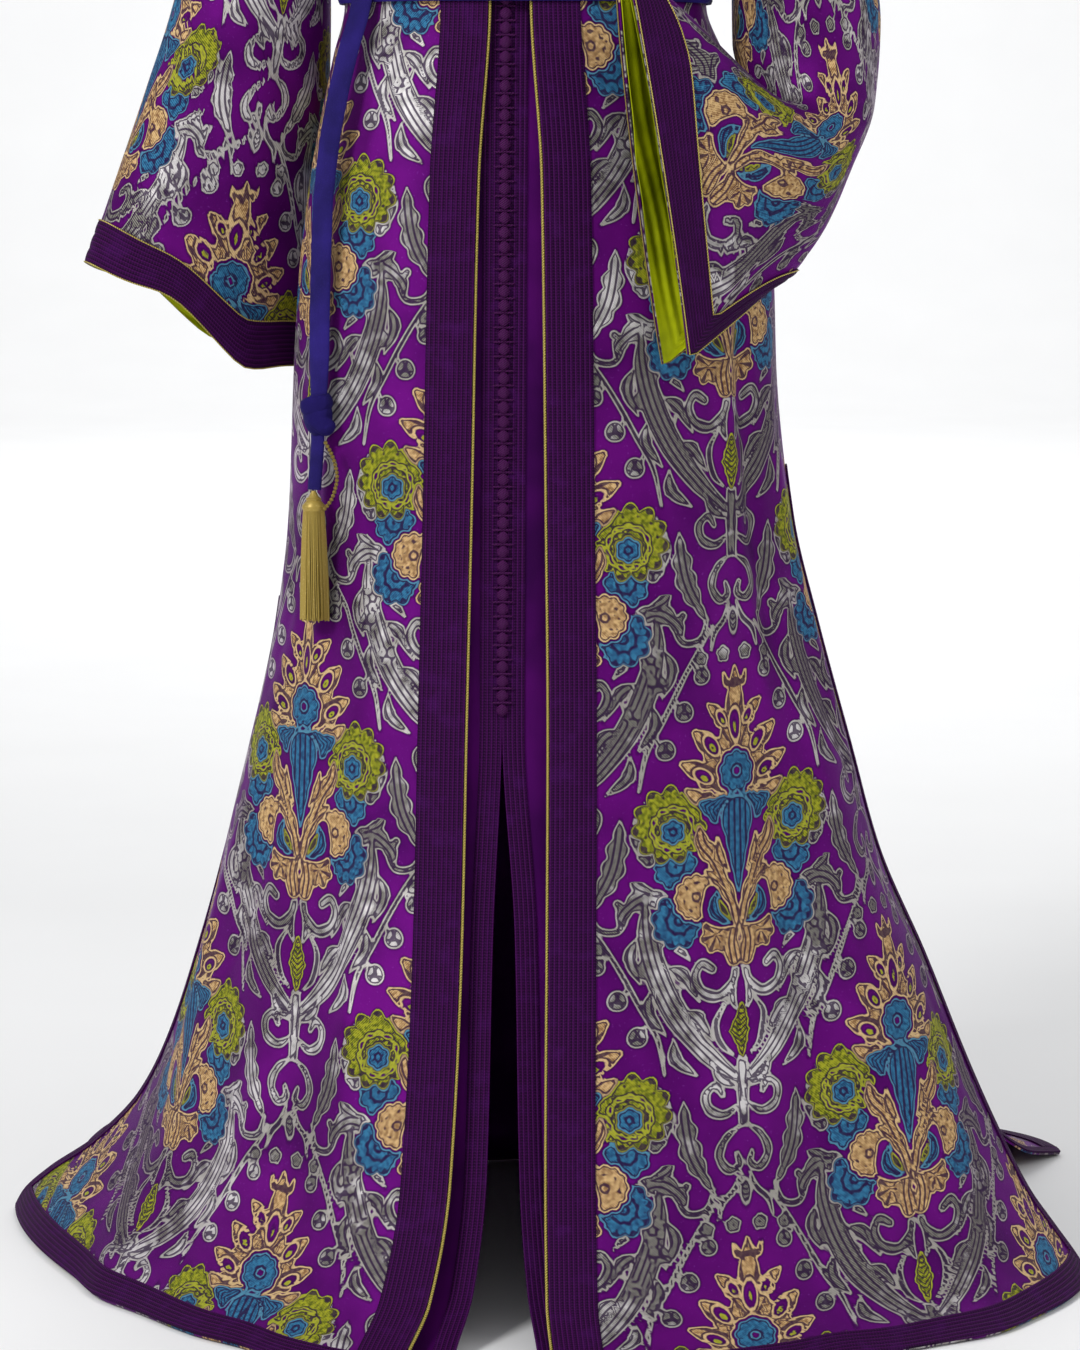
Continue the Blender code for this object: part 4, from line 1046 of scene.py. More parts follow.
def round_through(values, wanted):
    """A rounded curve through the values, read by their number, as a pen would draw it."""
    slope = np.gradient(values)
    step = np.clip(wanted.astype(int), 0, len(values) - 2)
    t = wanted - step
    start = values[step] * (1 + 2 * t) * (1 - t) ** 2 + slope[step] * t * (1 - t) ** 2
    end = values[step + 1] * t * t * (3 - 2 * t) - slope[step + 1] * t * t * (1 - t)
    return start + end


print("drawing with", len(COLOURS), "colours of thread")

# %% [markdown]
# The motif is charted in millimetres from the middle of the vase, x to the side and y up, and it is mirrored. Later
# shapes cover earlier ones, as the weaver's floats do, so a flower's ring is the ground laid over its petals.

# %% The motif
def silver_work(draw):
    """The tendrils, plumes, scrolls and leaves, woven in silver thread."""
    draw.stroke(
        "silver", [(22, 152), (38, 130), (54, 104), (68, 78), (82, 52), (88, 22)], [1.5, 2.4, 2.6, 2.6, 2.4, 1.5],
    )
    for x, y, radius in ((33, 112, 8), (50, 84, 9), (66, 54, 9), (72, 108, 9), (93, 82, 8)):
        draw.stroke("silver", [(x + 9, y + 14), (x + 6, y + 6), (x, y)], [1.5, 2.2, 3])
        draw.rosette("silver", x, y, radius, 3, 0.06, rings=0.0046)
    draw.stroke(
        "silver", [(102, 146), (90, 160), (72, 166), (56, 156), (50, 144)], [1, 7, 10, 8, 1.5], 4, 0.34,
        strips=0.0048,
    )
    draw.stroke("silver", [(60, 186), (66, 176), (80, 170)], [1, 6, 2], strips=0.0044)
    draw.stroke("silver", [(96, 148), (86, 142), (76, 146)], [1, 6, 1.5], strips=0.0044)
    draw.rosette("silver", 78, 128, 12, 5, 0.3, rings=0.0050)
    draw.stroke(
        "silver", [(82, -62), (82, -90), (74, -124), (57, -160), (32, -192), (6, -214)], [1, 8, 11, 11, 9, 5],
        strips=0.0047,
    )
    for path in (
        [(72, -84), (62, -98), (46, -116)], [(66, -120), (52, -128), (38, -150)], [(50, -156), (38, -164), (25, -182)],
        [(88, -94), (95, -112), (86, -134)], [(78, -138), (80, -156), (66, -176)], [(60, -178), (58, -196), (40, -210)],
    ):
        draw.stroke("silver", path, [1, 7.5, 1.5], 2, 0.22, strips=0.0050)
    draw.stroke(
        "silver", [(4, -118), (7, -136), (20, -147), (35, -143), (42, -131), (36, -120), (26, -125)],
        [3, 4.5, 5.5, 5.5, 5, 4.5, 5], 5, 0.16, strips=0.0050,
    )
    draw.stroke("silver", [(5, -138), (8, -150), (4, -160)], [1.5, 4, 1.5], strips=0.0050)
    draw.stroke("silver", [(12, -150), (22, -166), (18, -186), (8, -196)], [1.5, 3.4, 3.4, 1.5])
    draw.oval("silver", 0, -112, 12, 4.5, 0, 230)
    draw.stroke("silver", [(2, -200), (0, -226), (2, -252)], [3, 6, 3], strips=0.0044)
    draw.stroke("silver", [(5, -222), (20, -214), (28, -200)], [2, 5.5, 1], 2, 0.2, strips=0.0050)
    draw.stroke(
        "silver", [(4, -236), (17, -243), (30, -238), (33, -226), (24, -219), (18, -227)],
        [2, 4.4, 5, 4.4, 4, 3.4], 4, 0.16, strips=0.0050,
    )
    draw.stroke("silver", [(52, -230), (50, -252), (44, -276), (28, -304)], [1.5, 10, 11, 2], 5, 0.34, strips=0.0052)
    draw.stroke("silver", [(72, -216), (66, -234), (66, -252), (78, -266)], [1, 6, 6, 1], 3, 0.3, strips=0.0050)
    draw.stroke(
        "silver", [(5, -254), (16, -262), (22, -276), (14, -288), (5, -284), (7, -275)],
        [2, 4, 4.6, 4.4, 3.6, 3], 4, 0.16, strips=0.0050,
    )
    draw.stroke(
        "silver", [(27, -302), (34, -318), (50, -320), (57, -306), (50, -298)], [2, 3.2, 3.4, 3.2, 4], strips=0.0050,
    )
    draw.rosette("silver", 70, -292, 8, 5, 0.2, rings=0.0046)
    draw.stroke("silver", [(4, -290), (10, -304), (20, -314), (24, -328)], [1.5, 3, 3, 1.5])
    draw.oval("silver", 0, -306, 5.5, 12, 0, 230)
    for x, y in ((12, -332), (34, -334)):
        draw.rosette("silver", x, y, 7.5, 5, 0.2, rings=0.0046)


def flower_work(draw):
    """The vase of flowers, woven in peach, lime and blue thread."""
    draw.stroke("lime", [(0, -156), (0, -176), (0, -198)], [3, 10, 2], 5, 0.2, 230)
    draw.rosette("blue", 55, -84, 24, 9, 0.18, rings=0.0064)
    draw.rosette("blue", 58, -40, 20, 9, 0.18, rings=0.0064)
    draw.rosette("silver", 80, -30, 10, 4, 0.2, rings=0.0046)
    draw.rosette("lime", 62, -6, 33, 11, 0.22, rings=0.0088)
    draw.rosette("ground", 60, -10, 18.5, 11, 0.1)
    draw.rosette("lime", 60, -10, 17, 8, 0.1, rings=0.0050)
    draw.rosette("blue", 60, -12, 11, 6, 0.2, rings=0.0046)
    draw.rosette("ground", 40, -66, 21.5, 12, 0.1)
    draw.rosette("peach", 40, -66, 20, 12, 0.12, rings=0.0062)
    draw.rosette("peach", 40, -66, 12, 7, 0.1, rings=0.0048)
    draw.rosette("ground", 22, -98, 17.5, 9, 0.2)
    draw.rosette("peach", 22, -98, 16, 7, 0.24)
    draw.stroke("peach", [(3, -86), (8, -104), (6, -118)], [4, 8, 9], 2, 0.2, strips=0.0048)
    draw.stroke("ground", [(6, -88), (14, -84), (25, -78), (26, -64)], [4, 9, 10, 6])
    draw.stroke("blue", [(7, -88), (15, -84), (23, -76), (20, -64)], [3, 7, 8, 3], 3, 0.2, strips=0.0056)
    draw.stroke("lime", [(8, -87), (15, -78), (19, -70)], [1.5, 3.6, 1.5])
    draw.stroke("peach", [(2, -92), (6, -74), (16, -56), (31, -46)], [4, 6, 8.5, 3], 3, 0.26, strips=0.0050)
    for path, widths in (
        ([(0, 10), (0, 44), (0, 78), (3, 98), (0, 116)], [14, 22, 13, 5, 3]),
        ([(6, 30), (24, 52), (40, 66)], [8, 13, 5]),
        ([(6, 20), (30, 32), (52, 42)], [8, 13, 4]),
        ([(8, 8), (30, 10), (48, 20)], [6, 10, 4]),
        ([(4, 60), (16, 78), (27, 88)], [6, 9, 3]),
    ):
        draw.stroke("peach", path, widths, 3, 0.22, strips=0.0105)
    draw.stroke("peach", [(2, 104), (9, 104), (12, 112)], [3, 4, 2])
    for x, y, wide, high, tilt in (
        (25, 55, 5, 9, -40), (33, 31, 4.5, 8.5, -62), (0, 70, 5.5, 12, 0), (14, 76, 3.4, 6, -32),
    ):
        draw.oval("ground", x, y, wide, high, tilt)
        draw.oval("lime", x - 1, y - 2, wide * 0.5, high * 0.5, tilt)
    draw.rosette("ground", 0, 32, 20, 9, 0.1)
    draw.rosette("blue", 0, 32, 18, 9, 0.14, rings=0.0072)
    draw.rosette("ground", 0, 32, 3.4, 6)
    draw.stroke("blue", [(0, 4), (18, 2), (34, 8)], [12, 13, 5], 4, 0.22, 240)
    draw.stroke("ground", [(0, -8), (0, -34), (0, -64)], [19, 11.5, 3])
    draw.stroke("blue", [(0, -4), (0, -32), (0, -66)], [18, 10, 1.5], 4, 0.1, strips=0.0058)
    draw.stroke("peach", [(37, -10), (34, -24), (22, -38), (10, -62)], [3, 9, 9, 2], 4, 0.26, strips=0.0052)
    draw.stroke("peach", [(20, -20), (17, -34), (9, -48)], [2, 5, 1.5], strips=0.0050)


# The box that one motif fills, from the middle of its vase.
MOTIF_REACH = 0.112
MOTIF_TOP = 0.18
MOTIF_FOOT = -0.36
REPEAT = 0.46
COLUMN_PITCH = 0.155


def brocade_marks(u, v, columns):
    """Distances and phase at each point, with motifs down each column: its place across, and its first vase."""
    away = {colour: np.full(u.shape, FAR) for colour in COLOURS}
    phase = np.zeros(u.shape)
    layers = []
    for across, first in columns:
        start = math.floor((v.min() - 0.4 - first) / REPEAT)
        for number in range(start, math.ceil((v.max() + 0.2 - first) / REPEAT) + 1):
            x, y = u - across, first + number * REPEAT - v
            near = (np.abs(x) < MOTIF_REACH) & (y < MOTIF_TOP) & (y > MOTIF_FOOT)
            if near.any():
                layers.append((near, x[near], y[near]))
    for work in (silver_work, flower_work):
        for near, x, y in layers:
            draw = Drawing(x, y)
            for colour in COLOURS:
                draw.away[colour] = away[colour][near]
            draw.phase = phase[near]
            work(draw)
            for colour in COLOURS:
                away[colour][near] = draw.away[colour]
            phase[near] = draw.phase
    return {**away, "phase": phase}


def even_columns(first_across, first_vase, count):
    """Columns a pitch apart, each next one half a repeat lower."""
    return [(first_across + number * COLUMN_PITCH, first_vase + (number % 2) * REPEAT / 2) for number in range(count)]


BROCADE_COLUMNS = {
    "front_left": even_columns(0.005, 0.380, 5),
    "front_right": even_columns(0.005, 0.430, 5),
    "back": even_columns(-5 * COLUMN_PITCH, 0.10, 11),
}
coat_marks = {}
for name, panel in coat.items():
    middle = panel.points.shape[1] // 2
    across = panel.across - (panel.across[:, middle : middle + 1] if name == "back" else 0.0)
    coat_marks[name] = brocade_marks(across, panel.along, BROCADE_COLUMNS[name])
    print(name, {colour: round(float((coat_marks[name][colour] < 0).mean()), 3) for colour in COLOURS})

# %% [markdown]
# The brocade's shader reads the marks that the mesh keeps. Where a colour's distance is below nought, its thread
# covers the satin ground. A line just inside each edge is brighter, a second one is dark, and the phase draws dark
# veins. Silver thread is partly metal, and bright glints are painted on it in patches, more towards the viewer's left.
# The ground's cloudy patches mix a lit and a shaded violet, and paler glints are painted on it: all of this is painted
# light and shade. An image could do this, but drawn edges stay crisp.

# %% Brocade
THREAD = 0.0011
# The satin ground's lit violet and its shaded violet: painted light and shade, mixed in cloudy patches.
VIOLET_LIT = linear(98, 14, 114)
VIOLET_SHADED = linear(62, 7, 78)
PEACH_THREAD = linear(208, 174, 122)
LIME_THREAD = linear(158, 160, 38)
BLUE_THREAD = linear(54, 120, 156)
SILVER_THREAD = linear(132, 130, 120)
SILVER_SHADE = linear(74, 70, 72)
SILVER_RIM = linear(176, 172, 164)
OUTLINE = linear(38, 5, 54)
TWILL = 0.0021
# How far inside a motif's edge its bright rim, its dark groove and its first veins lie, and how soft its edge is.
EDGE_SOFT = 0.00030
RIM_INSET = 0.0007
GROOVE_INSET = 0.0020
VEIN_INSET = 0.0014
VEIN_WHOLE = 0.0022
# How far outside it the dark outline reaches.
OUTLINE_REACH = 0.0020
OUTLINE_WHOLE = 0.0004


def brocade_finish():
    """Satin ground with woven motifs: each colour has its outline, its veins and its own thread."""
    made = Finish("brocade")
    across, along = made.weave_place()
    phase = made.mark("phase")
    slant = (across + along).wave(TWILL)
    fine = across.wave(THREAD) * along.wave(THREAD)
    cloudy = made.noise(14.0, 3.0)
    painted_glints = made.noise(420.0, 2.0)
    vein = phase.maths("COSINE").ramp(0.20, 0.62)
    # Cloudy patches of the lit and the shaded violet on the ground: painted light and shade.
    colour = made.mixed(cloudy.ramp(0.20, 0.62), VIOLET_SHADED, VIOLET_LIT)
    # Paler violet where the fine noise peaks: painted glints on the satin ground.
    colour = made.mixed(painted_glints.ramp(0.66, 0.82) * 0.35, colour, linear(160, 70, 190))
    # Painted light on the silver: patches of bright glints, more of them towards the viewer's left.
    painted_light_leftward = made.apart(made.place())[0] * -0.14
    painted_silver_glints = (made.noise(7.0, 2.0) * 0.65 + made.noise(80.0, 2.0) * 0.40 + painted_light_leftward).ramp(0.51, 0.66)
    mottle = made.noise(330.0, 2.0)
    inside = None
    drawn_lines = None
    for name, thread, shade, hatch, rim in (
        ("peach", PEACH_THREAD, linear(136, 102, 66), 0.25, linear(214, 186, 138)),
        ("lime", LIME_THREAD, linear(80, 88, 22), 0.25, linear(166, 168, 52)),
        ("blue", BLUE_THREAD, linear(32, 68, 104), 0.30, linear(92, 146, 168)),
        ("silver", SILVER_THREAD, SILVER_SHADE, 0.55, SILVER_RIM),
    ):
        away = made.mark(name)
        covers = away.ramp(EDGE_SOFT, -EDGE_SOFT)
        edge = (away + RIM_INSET).absolute().ramp(0.00090, 0.00040) * covers
        groove = (away + GROOVE_INSET).absolute().ramp(0.00070, 0.00035)
        lines = groove.most(vein * away.ramp(-VEIN_INSET, -VEIN_WHOLE)) * covers
        own = made.mixed((slant * hatch + mottle * 2.2 - 0.6).ramp(0.25, 0.75), shade, thread)
        if name == "silver":
            # The silver thread takes its painted glints.
            own = made.mixed(painted_silver_glints * 0.8, own, linear(228, 224, 224))
        own = made.mixed(edge * 0.6, own, rim)
        own = made.mixed(lines * 0.85, own, OUTLINE)
        colour = made.mixed(covers, colour, own)
        border = away.ramp(OUTLINE_REACH, OUTLINE_WHOLE) - covers
        colour = made.mixed(border * 0.55, colour, OUTLINE)
        inside = covers if inside is None else inside.most(covers)
        drawn_lines = lines if drawn_lines is None else drawn_lines.most(lines)
    raised = inside - drawn_lines * 0.8
    silver = made.mark("silver").ramp(0.00035, -0.00035)
    made.give(
        Base_Color=colour,
        Metallic=silver * 0.45 + (inside - silver) * 0.05 + (1.0 - inside) * 0.35,
        Roughness=0.36 + inside * 0.14 - silver * 0.14 + painted_glints * 0.10,
        Specular_IOR_Level=0.12,
        Specular_Tint=linear(190, 110, 220),
    )
    height = raised * 0.7 + fine * 0.10 + (slant * inside) * 0.12 + 0.2
    return made.bump(height, 0.0007, 0.8)


brocade = brocade_finish()
print("brocade has", len(COLOURS), "threads on its ground")

# %% [markdown]
# The bands are rows of stitched cord, so their shader draws stripes along the strip and short slanting stitches, with
# painted light on the cords and the stitches and painted shade in the grooves. The satins are plain: a fine twill, and
# a slow crumple with painted light on its rises and painted shade in its hollows. Each is made of sine waves on the
# piece's own UV map, which follows the cloth, so that the stripes run with the strip wherever it hangs.

# %% Braid and satin
STRIPE = 0.0038
STITCH = 0.0024
SATIN_TWILL = 0.0010


def braid_finish():
    """Rows of stitched cord: stripes across the band, with short slanting stitches along each, painted lighter on the
    cords and the stitches and darker in the grooves.
    """
    made = Finish("braid")
    across, along = made.weave_place()
    stripe = across.wave(STRIPE)
    groove = across.wave(STRIPE / 2).ramp(-0.55, -0.95)
    stitch = (along + stripe * 0.00035).wave(STITCH)
    tone = made.noise(60.0, 3.0)
    # Each cord's rise is lighter, its groove darker and the raised stitches lighter still: painted light and shade on
    # the relief.
    colour = made.mixed(stripe.ramp(-0.5, 0.7), linear(34, 4, 42), linear(62, 9, 72))
    colour = made.mixed(stitch.ramp(0.2, 1.0) * 0.40, colour, linear(84, 20, 94))
    colour = made.mixed(groove * 0.75, colour, linear(22, 3, 34))
    colour = made.mixed(tone.ramp(0.52, 0.75) * 0.35, colour, linear(74, 18, 96))
    made.give(Base_Color=colour, Roughness=0.55 + tone * 0.15, Specular_IOR_Level=0.06)
    return made.bump(stripe * 0.30 + stitch * 0.22 - groove * 0.4 + 0.5, 0.0008, 0.9)


def satin_finish(name, lit, deep, roughness, crumple=9.0):
    """Plain satin: a fine twill, and a slow crumple with painted light on its rises and painted shade in its hollows.
    """
    made = Finish(name)
    across, along = made.weave_place()
    twill = (across + along * 0.6).wave(SATIN_TWILL)
    slow = made.noise(crumple, 3.0)
    # The slow noise is also the crumple's relief: the lit copy lies on its rises and the deep, shaded copy in its
    # hollows, as painted light and shade.
    colour = made.mixed(slow.ramp(0.35, 0.70), deep, lit)
    made.give(Base_Color=made.mixed(twill.ramp(0.0, 1.0) * 0.15, colour, lit), Roughness=slow * 0.12 + roughness)
    made.give(Specular_IOR_Level=0.15, Specular_Tint=linear(220, 170, 230), Metallic=0.35)
    return made.bump(slow * 0.8 + twill * 0.04 + 0.2, 0.0016, 0.5)


band = braid_finish()
lime = satin_finish("lime_satin", linear(186, 196, 14), linear(128, 138, 6), 0.26, 22.0)
satin = satin_finish("plain_satin", linear(88, 10, 106), linear(50, 5, 66), 0.30)
print("made", band.material.name, lime.material.name, satin.material.name)

# %% [markdown]
# The belt is a matte crepe, the piping and the tassel are twisted gold thread, and the buttons are knots of purple
# cord. The last two have lines wound over them, with painted light on the lines and painted shade between. The knots
# are too small to unwrap, so theirs read Object places.

# %% Crepe and thread
CREPE_ACROSS, CREPE_ALONG = 0.0011, 0.0012
WINDING, COUNTER_WINDING = 0.0016, 0.0019


def crepe_finish(name, lit, deep):
    """Matte crepe: a fine crossed grain with a soft nap, and slow patches of painted light and shade."""
    made = Finish(name)
    across, along = made.weave_place()
    grain = across.wave(CREPE_ACROSS) * along.wave(CREPE_ALONG)
    pebble = made.noise(900.0, 2.0)
    slow = made.noise(30.0, 2.0)
    # Slow patches mix a lit and a deep, shaded copy of the colour, lit where the relief rises: painted light and shade.
    colour = made.mixed(slow.ramp(0.35, 0.70), deep, lit)
    made.give(Base_Color=made.mixed(pebble.ramp(0.55, 0.80) * 0.3, colour, linear(58, 48, 140)))
    made.give(Roughness=pebble * 0.15 + 0.55, Specular_IOR_Level=0.12)
    return made.bump(grain * 0.25 + pebble * 0.5 + slow * 0.4, 0.0007, 0.8)


def thread_finish(name, lit, deep, metallic, period):
    """Twisted or combed thread: fine lines with painted light on their ridges, painted shade between them, and painted
    glints.
    """
    made = Finish(name)
    across, along = made.weave_place()
    twist = (along + across * 0.8).wave(period)
    painted_glints = made.noise(700.0, 2.0)
    # The twist's ridges take the lit copy and its grooves the deep, shaded one: painted light and shade.
    colour = made.mixed(twist.ramp(-0.6, 0.8), deep, lit)
    # Pale gold where the fine noise peaks: painted glints.
    colour = made.mixed(painted_glints.ramp(0.60, 0.80) * 0.4, colour, linear(246, 226, 160))
    made.give(Base_Color=colour, Metallic=metallic, Roughness=painted_glints * 0.2 + 0.32)
    return made.bump(twist * 0.5 + 0.5, 0.0004, 0.9)


def knot_finish():
    """Button thread, which has no map of its own: fine lines wound round by place, with painted light on their ridges
    and painted shade between them.
    """
    made = Finish("button_thread")
    side, _, height = made.apart(made.place())
    lit = (height + side * 0.7).wave(WINDING).most((height - side * 0.7).wave(COUNTER_WINDING))
    # The wound lines' ridges are lighter and their grooves darker: painted light and shade.
    made.give(Base_Color=made.mixed(lit.ramp(0.0, 1.0), linear(30, 4, 36), linear(84, 18, 88)), Roughness=0.55)
    made.give(Specular_IOR_Level=0.15)
    return made.bump(lit * 0.5 + 0.5, 0.0005, 0.9)


piping = thread_finish("piping_thread", linear(214, 196, 96), linear(128, 108, 40), 0.35, 0.0022)
button_thread = knot_finish()
navy = crepe_finish("navy_crepe", linear(40, 26, 112), linear(26, 16, 84))
gold = thread_finish("gold_thread", linear(198, 172, 84), linear(128, 104, 34), 0.30, 0.0030)
print("made", *(made.material.name for made in (piping, button_thread, navy, gold)))

# %% [markdown]
# The coat is three panels of brocade, cut apart and sewn at the shoulders and down the sides as far as the slits. Each
# is a wall: the outer face is the fine grid, and the inner face is the same grid moved in by the cloth's thickness.
# A Solidify modifier would do it too, but here each point has its own direction, which keeps seams closed.

# %% The coat's panels
half = SEAM / 2
for side in ("left", "right"):
    panel = coat["front_" + side].trimmed(top=half, last=half)
    made = wall(
        "brocade_front_" + side, panel, 0.0, COAT_THICK, brocade, "brocade", "coat_front_" + side, uv=panel.uv(),
        marks=coat_marks["front_" + side], plain=2,
    )
panel = coat["back"].trimmed(top=half, first=half, last=half)
made = wall(
    "brocade_back", panel, 0.0, COAT_THICK, brocade, "brocade", "coat_back", uv=panel.uv(),
    marks=coat_marks["back"], plain=2,
)
print("coat panels are", 1000 * COAT_THICK, "mm thick")

# %% [markdown]
# Wide stitched bands edge the coat, and narrower ones its hems and slits. A strip takes part of a panel's own grid, so
# it lies on the cloth through every fold, and it stands out by its thickness. Ribs along it come from a sine wave
# that moves the points, because the eye sees their shadows, and the shader adds the stitches.

# %% Sewing a strip on a panel
RIB_RISE = 0.0004
FRONT_RIBS = 5
HEM_RIBS = 4
SLIT_RIBS = 3


def ribbed(across, width, ribs, rise=RIB_RISE):
    """How far ribs along a band stand out at each place across it."""
    return rise * np.abs(np.sin(math.pi * ribs * across / width)) ** 0.7


def trimming(name, node, cloth, width, ribs, rise=RIB_RISE, rows=0, columns=0, sideways=False):
    """A braid sewn on the outer face of a panel, with ribs along it; a hem's braid runs sideways."""
    fine = cloth.finer(rows, columns)
    place = fine.along - fine.along[:1] if sideways else fine.across - fine.across[:, :1]
    length = fine.across if sideways else -fine.along
    extra = ribbed(place, width, ribs, rise)
    return wall(
        name, fine, SEAM + BAND_THICK + extra, BAND_THICK + extra, band, "band", node,
        uv=np.stack([place, length], axis=2),
    )


def slit_row(cloth, column, height):
    """The row of a panel at a slit's top."""
    return int(np.argmin(np.abs(cloth.points[:, column, 2] + SHOULDER_HEIGHT - height)))


print("ribs stand out", 1000 * RIB_RISE, "mm")

# %% [markdown]
# Each front has a wide band down its edge, a hem band and a slit band. They meet at the corners, so each takes its
# own columns or rows of the panel and none lies on another. Half a seam is left open round each strip.

# %% Bands of the fronts
for side in ("left", "right"):
    panel = coat["front_" + side]
    edge = panel.part(slice(None), slice(0, FRONT_COUNTS[0] + 1)).trimmed(top=half, last=half)
    made = trimming("braid_front_" + side, "front_band_" + side, edge, FRONT_BAND, FRONT_RIBS, columns=20)
    "brocade_front_" + side
    across = slice(FRONT_COUNTS[0], -FRONT_COUNTS[2])
    hem = panel.part(slice(-BAND_ROWS - 1, None), across).trimmed(first=half, last=half)
    made = trimming(
        "braid_hem_front_" + side, "hem_band_front_" + side, hem, HEM_BAND, HEM_RIBS, rows=16, sideways=True,
    )
    "brocade_front_" + side
    first = slit_row(panel, -1, SLIT_TOPS[side])
    slit = panel.part(slice(first, None), slice(-FRONT_COUNTS[2] - 1, None)).trimmed(first=half, last=half, top=half)
    made = trimming("braid_slit_front_" + side, "slit_band_front_" + side, slit, SLIT_BAND, SLIT_RIBS, columns=12)
    "brocade_front_" + side
print("the front bands are", 1000 * FRONT_BAND, "mm wide")

# %% [markdown]
# The back has the same narrow bands: one along its hem and one down each slit. They are made in the same way, from
# the back panel's first and last columns and its last rows.

# %% Bands of the back
for side in ("left", "right"):
    column = 0 if side == "left" else -1
    first = slit_row(coat["back"], column, SLIT_TOPS[side])
    columns = slice(0, BACK_COUNTS[0] + 1) if side == "left" else slice(-BACK_COUNTS[2] - 1, None)
    slit = coat["back"].part(slice(first, None), columns).trimmed(first=half, last=half, top=half)
    made = trimming("braid_slit_back_" + side, "slit_band_back_" + side, slit, SLIT_BAND, SLIT_RIBS, columns=12)
across = slice(BACK_COUNTS[0], -BACK_COUNTS[2])
hem = coat["back"].part(slice(-BAND_ROWS - 1, None), across).trimmed(first=half, last=half)
made = trimming("braid_hem_back", "hem_band_back", hem, HEM_BAND, HEM_RIBS, rows=16, sideways=True)
print("the hem bands are", 1000 * HEM_BAND, "mm wide")

# %% [markdown]
# A narrow band finishes the back of the neck. It is the part of the back panel between the two front edges, as deep
# as the band, sewn on like the others with its ribs running across.

# %% Neck band
NECK_BAND = 0.030
inset = np.flatnonzero(np.abs(coat["back"].points[0, :, 0]) < COAT_NECK_X)
down = int(np.argmin(np.abs(lengths(coat["back"].points[:, inset[len(inset) // 2]]) - NECK_BAND)))
neck = coat["back"].part(slice(0, down + 1), slice(inset[0], inset[-1] + 1)).trimmed(top=half)
made = trimming("braid_neck", "neck_band", neck, NECK_BAND, HEM_RIBS, rows=18, sideways=True)
print("the neck band takes", down, "rows")

# %% [markdown]
# A thin gold cord runs down each front edge. A curve with a bevel would make one, and rings round a route make the
# same tube with its own UV map, so that the twist of the thread can be drawn along it.

# %% Piping
PIPING = 0.0025
PIPING_SIDES = 8


def round_rings(route, radius_wide, radius_deep, outward, sides):
    """Rings round a route: wide across it, and deep along the outward direction."""
    direction = np.gradient(route, axis=0)
    direction /= np.linalg.norm(direction, axis=1, keepdims=True)
    flat = np.cross(direction, outward)
    flat /= np.linalg.norm(flat, axis=1, keepdims=True)
    thin = np.cross(flat, direction)
    angle = np.linspace(0, 2 * math.pi, sides, endpoint=False)
    wide = np.broadcast_to(np.asarray(radius_wide, float), len(route))[:, None, None]
    deep = np.broadcast_to(np.asarray(radius_deep, float), len(route))[:, None, None]
    return (
        route[:, None] + flat[:, None] * wide * np.cos(angle)[None, :, None]
        + thin[:, None] * deep * np.sin(angle)[None, :, None]
    )


for side in ("left", "right"):
    panel = coat["front_" + side]
    edge = panel.points[:, 0] - panel.normals[:, 0] * COAT_THICK / 2
    edge = edge + drawn(panel.points[:, 0], panel.points[:, 1], -(PIPING / 2 + SEAM))
    rings = round_rings(edge, PIPING / 2, PIPING / 2, panel.normals[:, 0], PIPING_SIDES)
    tube("piping_" + side, rings, piping, "piping", "front_piping_" + side)
print("the piping is", 1000 * PIPING, "mm thick")

# %% [markdown]
# A wide sleeve is a tube of cloth from the armhole to the cuff. It could be a cone bent at the elbow. Here a few rings
# are set from the picture, since the left sleeve hangs and the right one bends up to the waist, and the tube is
# drawn smoothly through them.

# %% The sleeves' tables
SLEEVE_COLUMNS = "outer inner front back corner_front corner_back"
SLEEVES = {
    "left": (
        ((-0.238, 0.000, 1.300), (-0.183, 0.008, 1.130), 0.072, 0.064, (0, 0, 0), (0, 0, 0)),
        ((-0.263, 0.002, 1.190), (-0.167, 0.036, 1.060), 0.064, 0.058, (0, 0, 0), (0, 0, 0)),
        ((-0.287, 0.006, 1.060), (-0.171, 0.064, 0.975), 0.058, 0.052, (0, 0, 0), (0, 0, 0)),
        ((-0.316, 0.014, 0.975), (-0.182, 0.080, 0.890), 0.056, 0.050, (0, 0, 0), (0, 0, 0)),
        ((-0.345, 0.023, 0.898), (-0.184, 0.094, 0.812), 0.052, 0.048, (0, -0.004, -0.008), (0, 0, 0)),
        ((-0.3715, 0.030, 0.829), (-0.181, 0.103, 0.737), 0.048, 0.046, (0.004, -0.008, -0.030), (0, 0, -0.008)),
    ),
    "right": (
        ((0.240, 0.000, 1.300), (0.188, 0.000, 1.130), 0.070, 0.068, (0, 0, 0), (0, 0, 0)),
        ((0.272, 0.000, 1.150), (0.171, -0.004, 1.070), 0.068, 0.066, (0, 0, 0), (0, 0, 0)),
        ((0.294, -0.002, 1.030), (0.172, -0.016, 1.010), 0.064, 0.060, (0, 0, 0), (0, 0, 0)),
        ((0.286, -0.022, 0.962), (0.190, -0.045, 0.964), 0.060, 0.048, (0, 0, 0), (0, 0, 0)),
        ((0.264, -0.048, 0.908), (0.179, -0.080, 0.976), 0.054, 0.042, (0, 0, 0), (0, 0, 0)),
        ((0.242, -0.086, 0.860), (0.153, -0.120, 1.006), 0.046, 0.036, (0, 0, 0), (0, 0, 0)),
        ((0.217, -0.118, 0.826), (0.115, -0.158, 1.043), 0.036, 0.034, (0, 0, 0.010), (0, 0, 0.010)),
        (
            (0.192, -0.132, 0.812), (0.074, -0.195, 1.085), 0.016, 0.022,
            (-0.044, -0.044, -0.106), (-0.048, -0.014, -0.117),
        ),
    ),
}
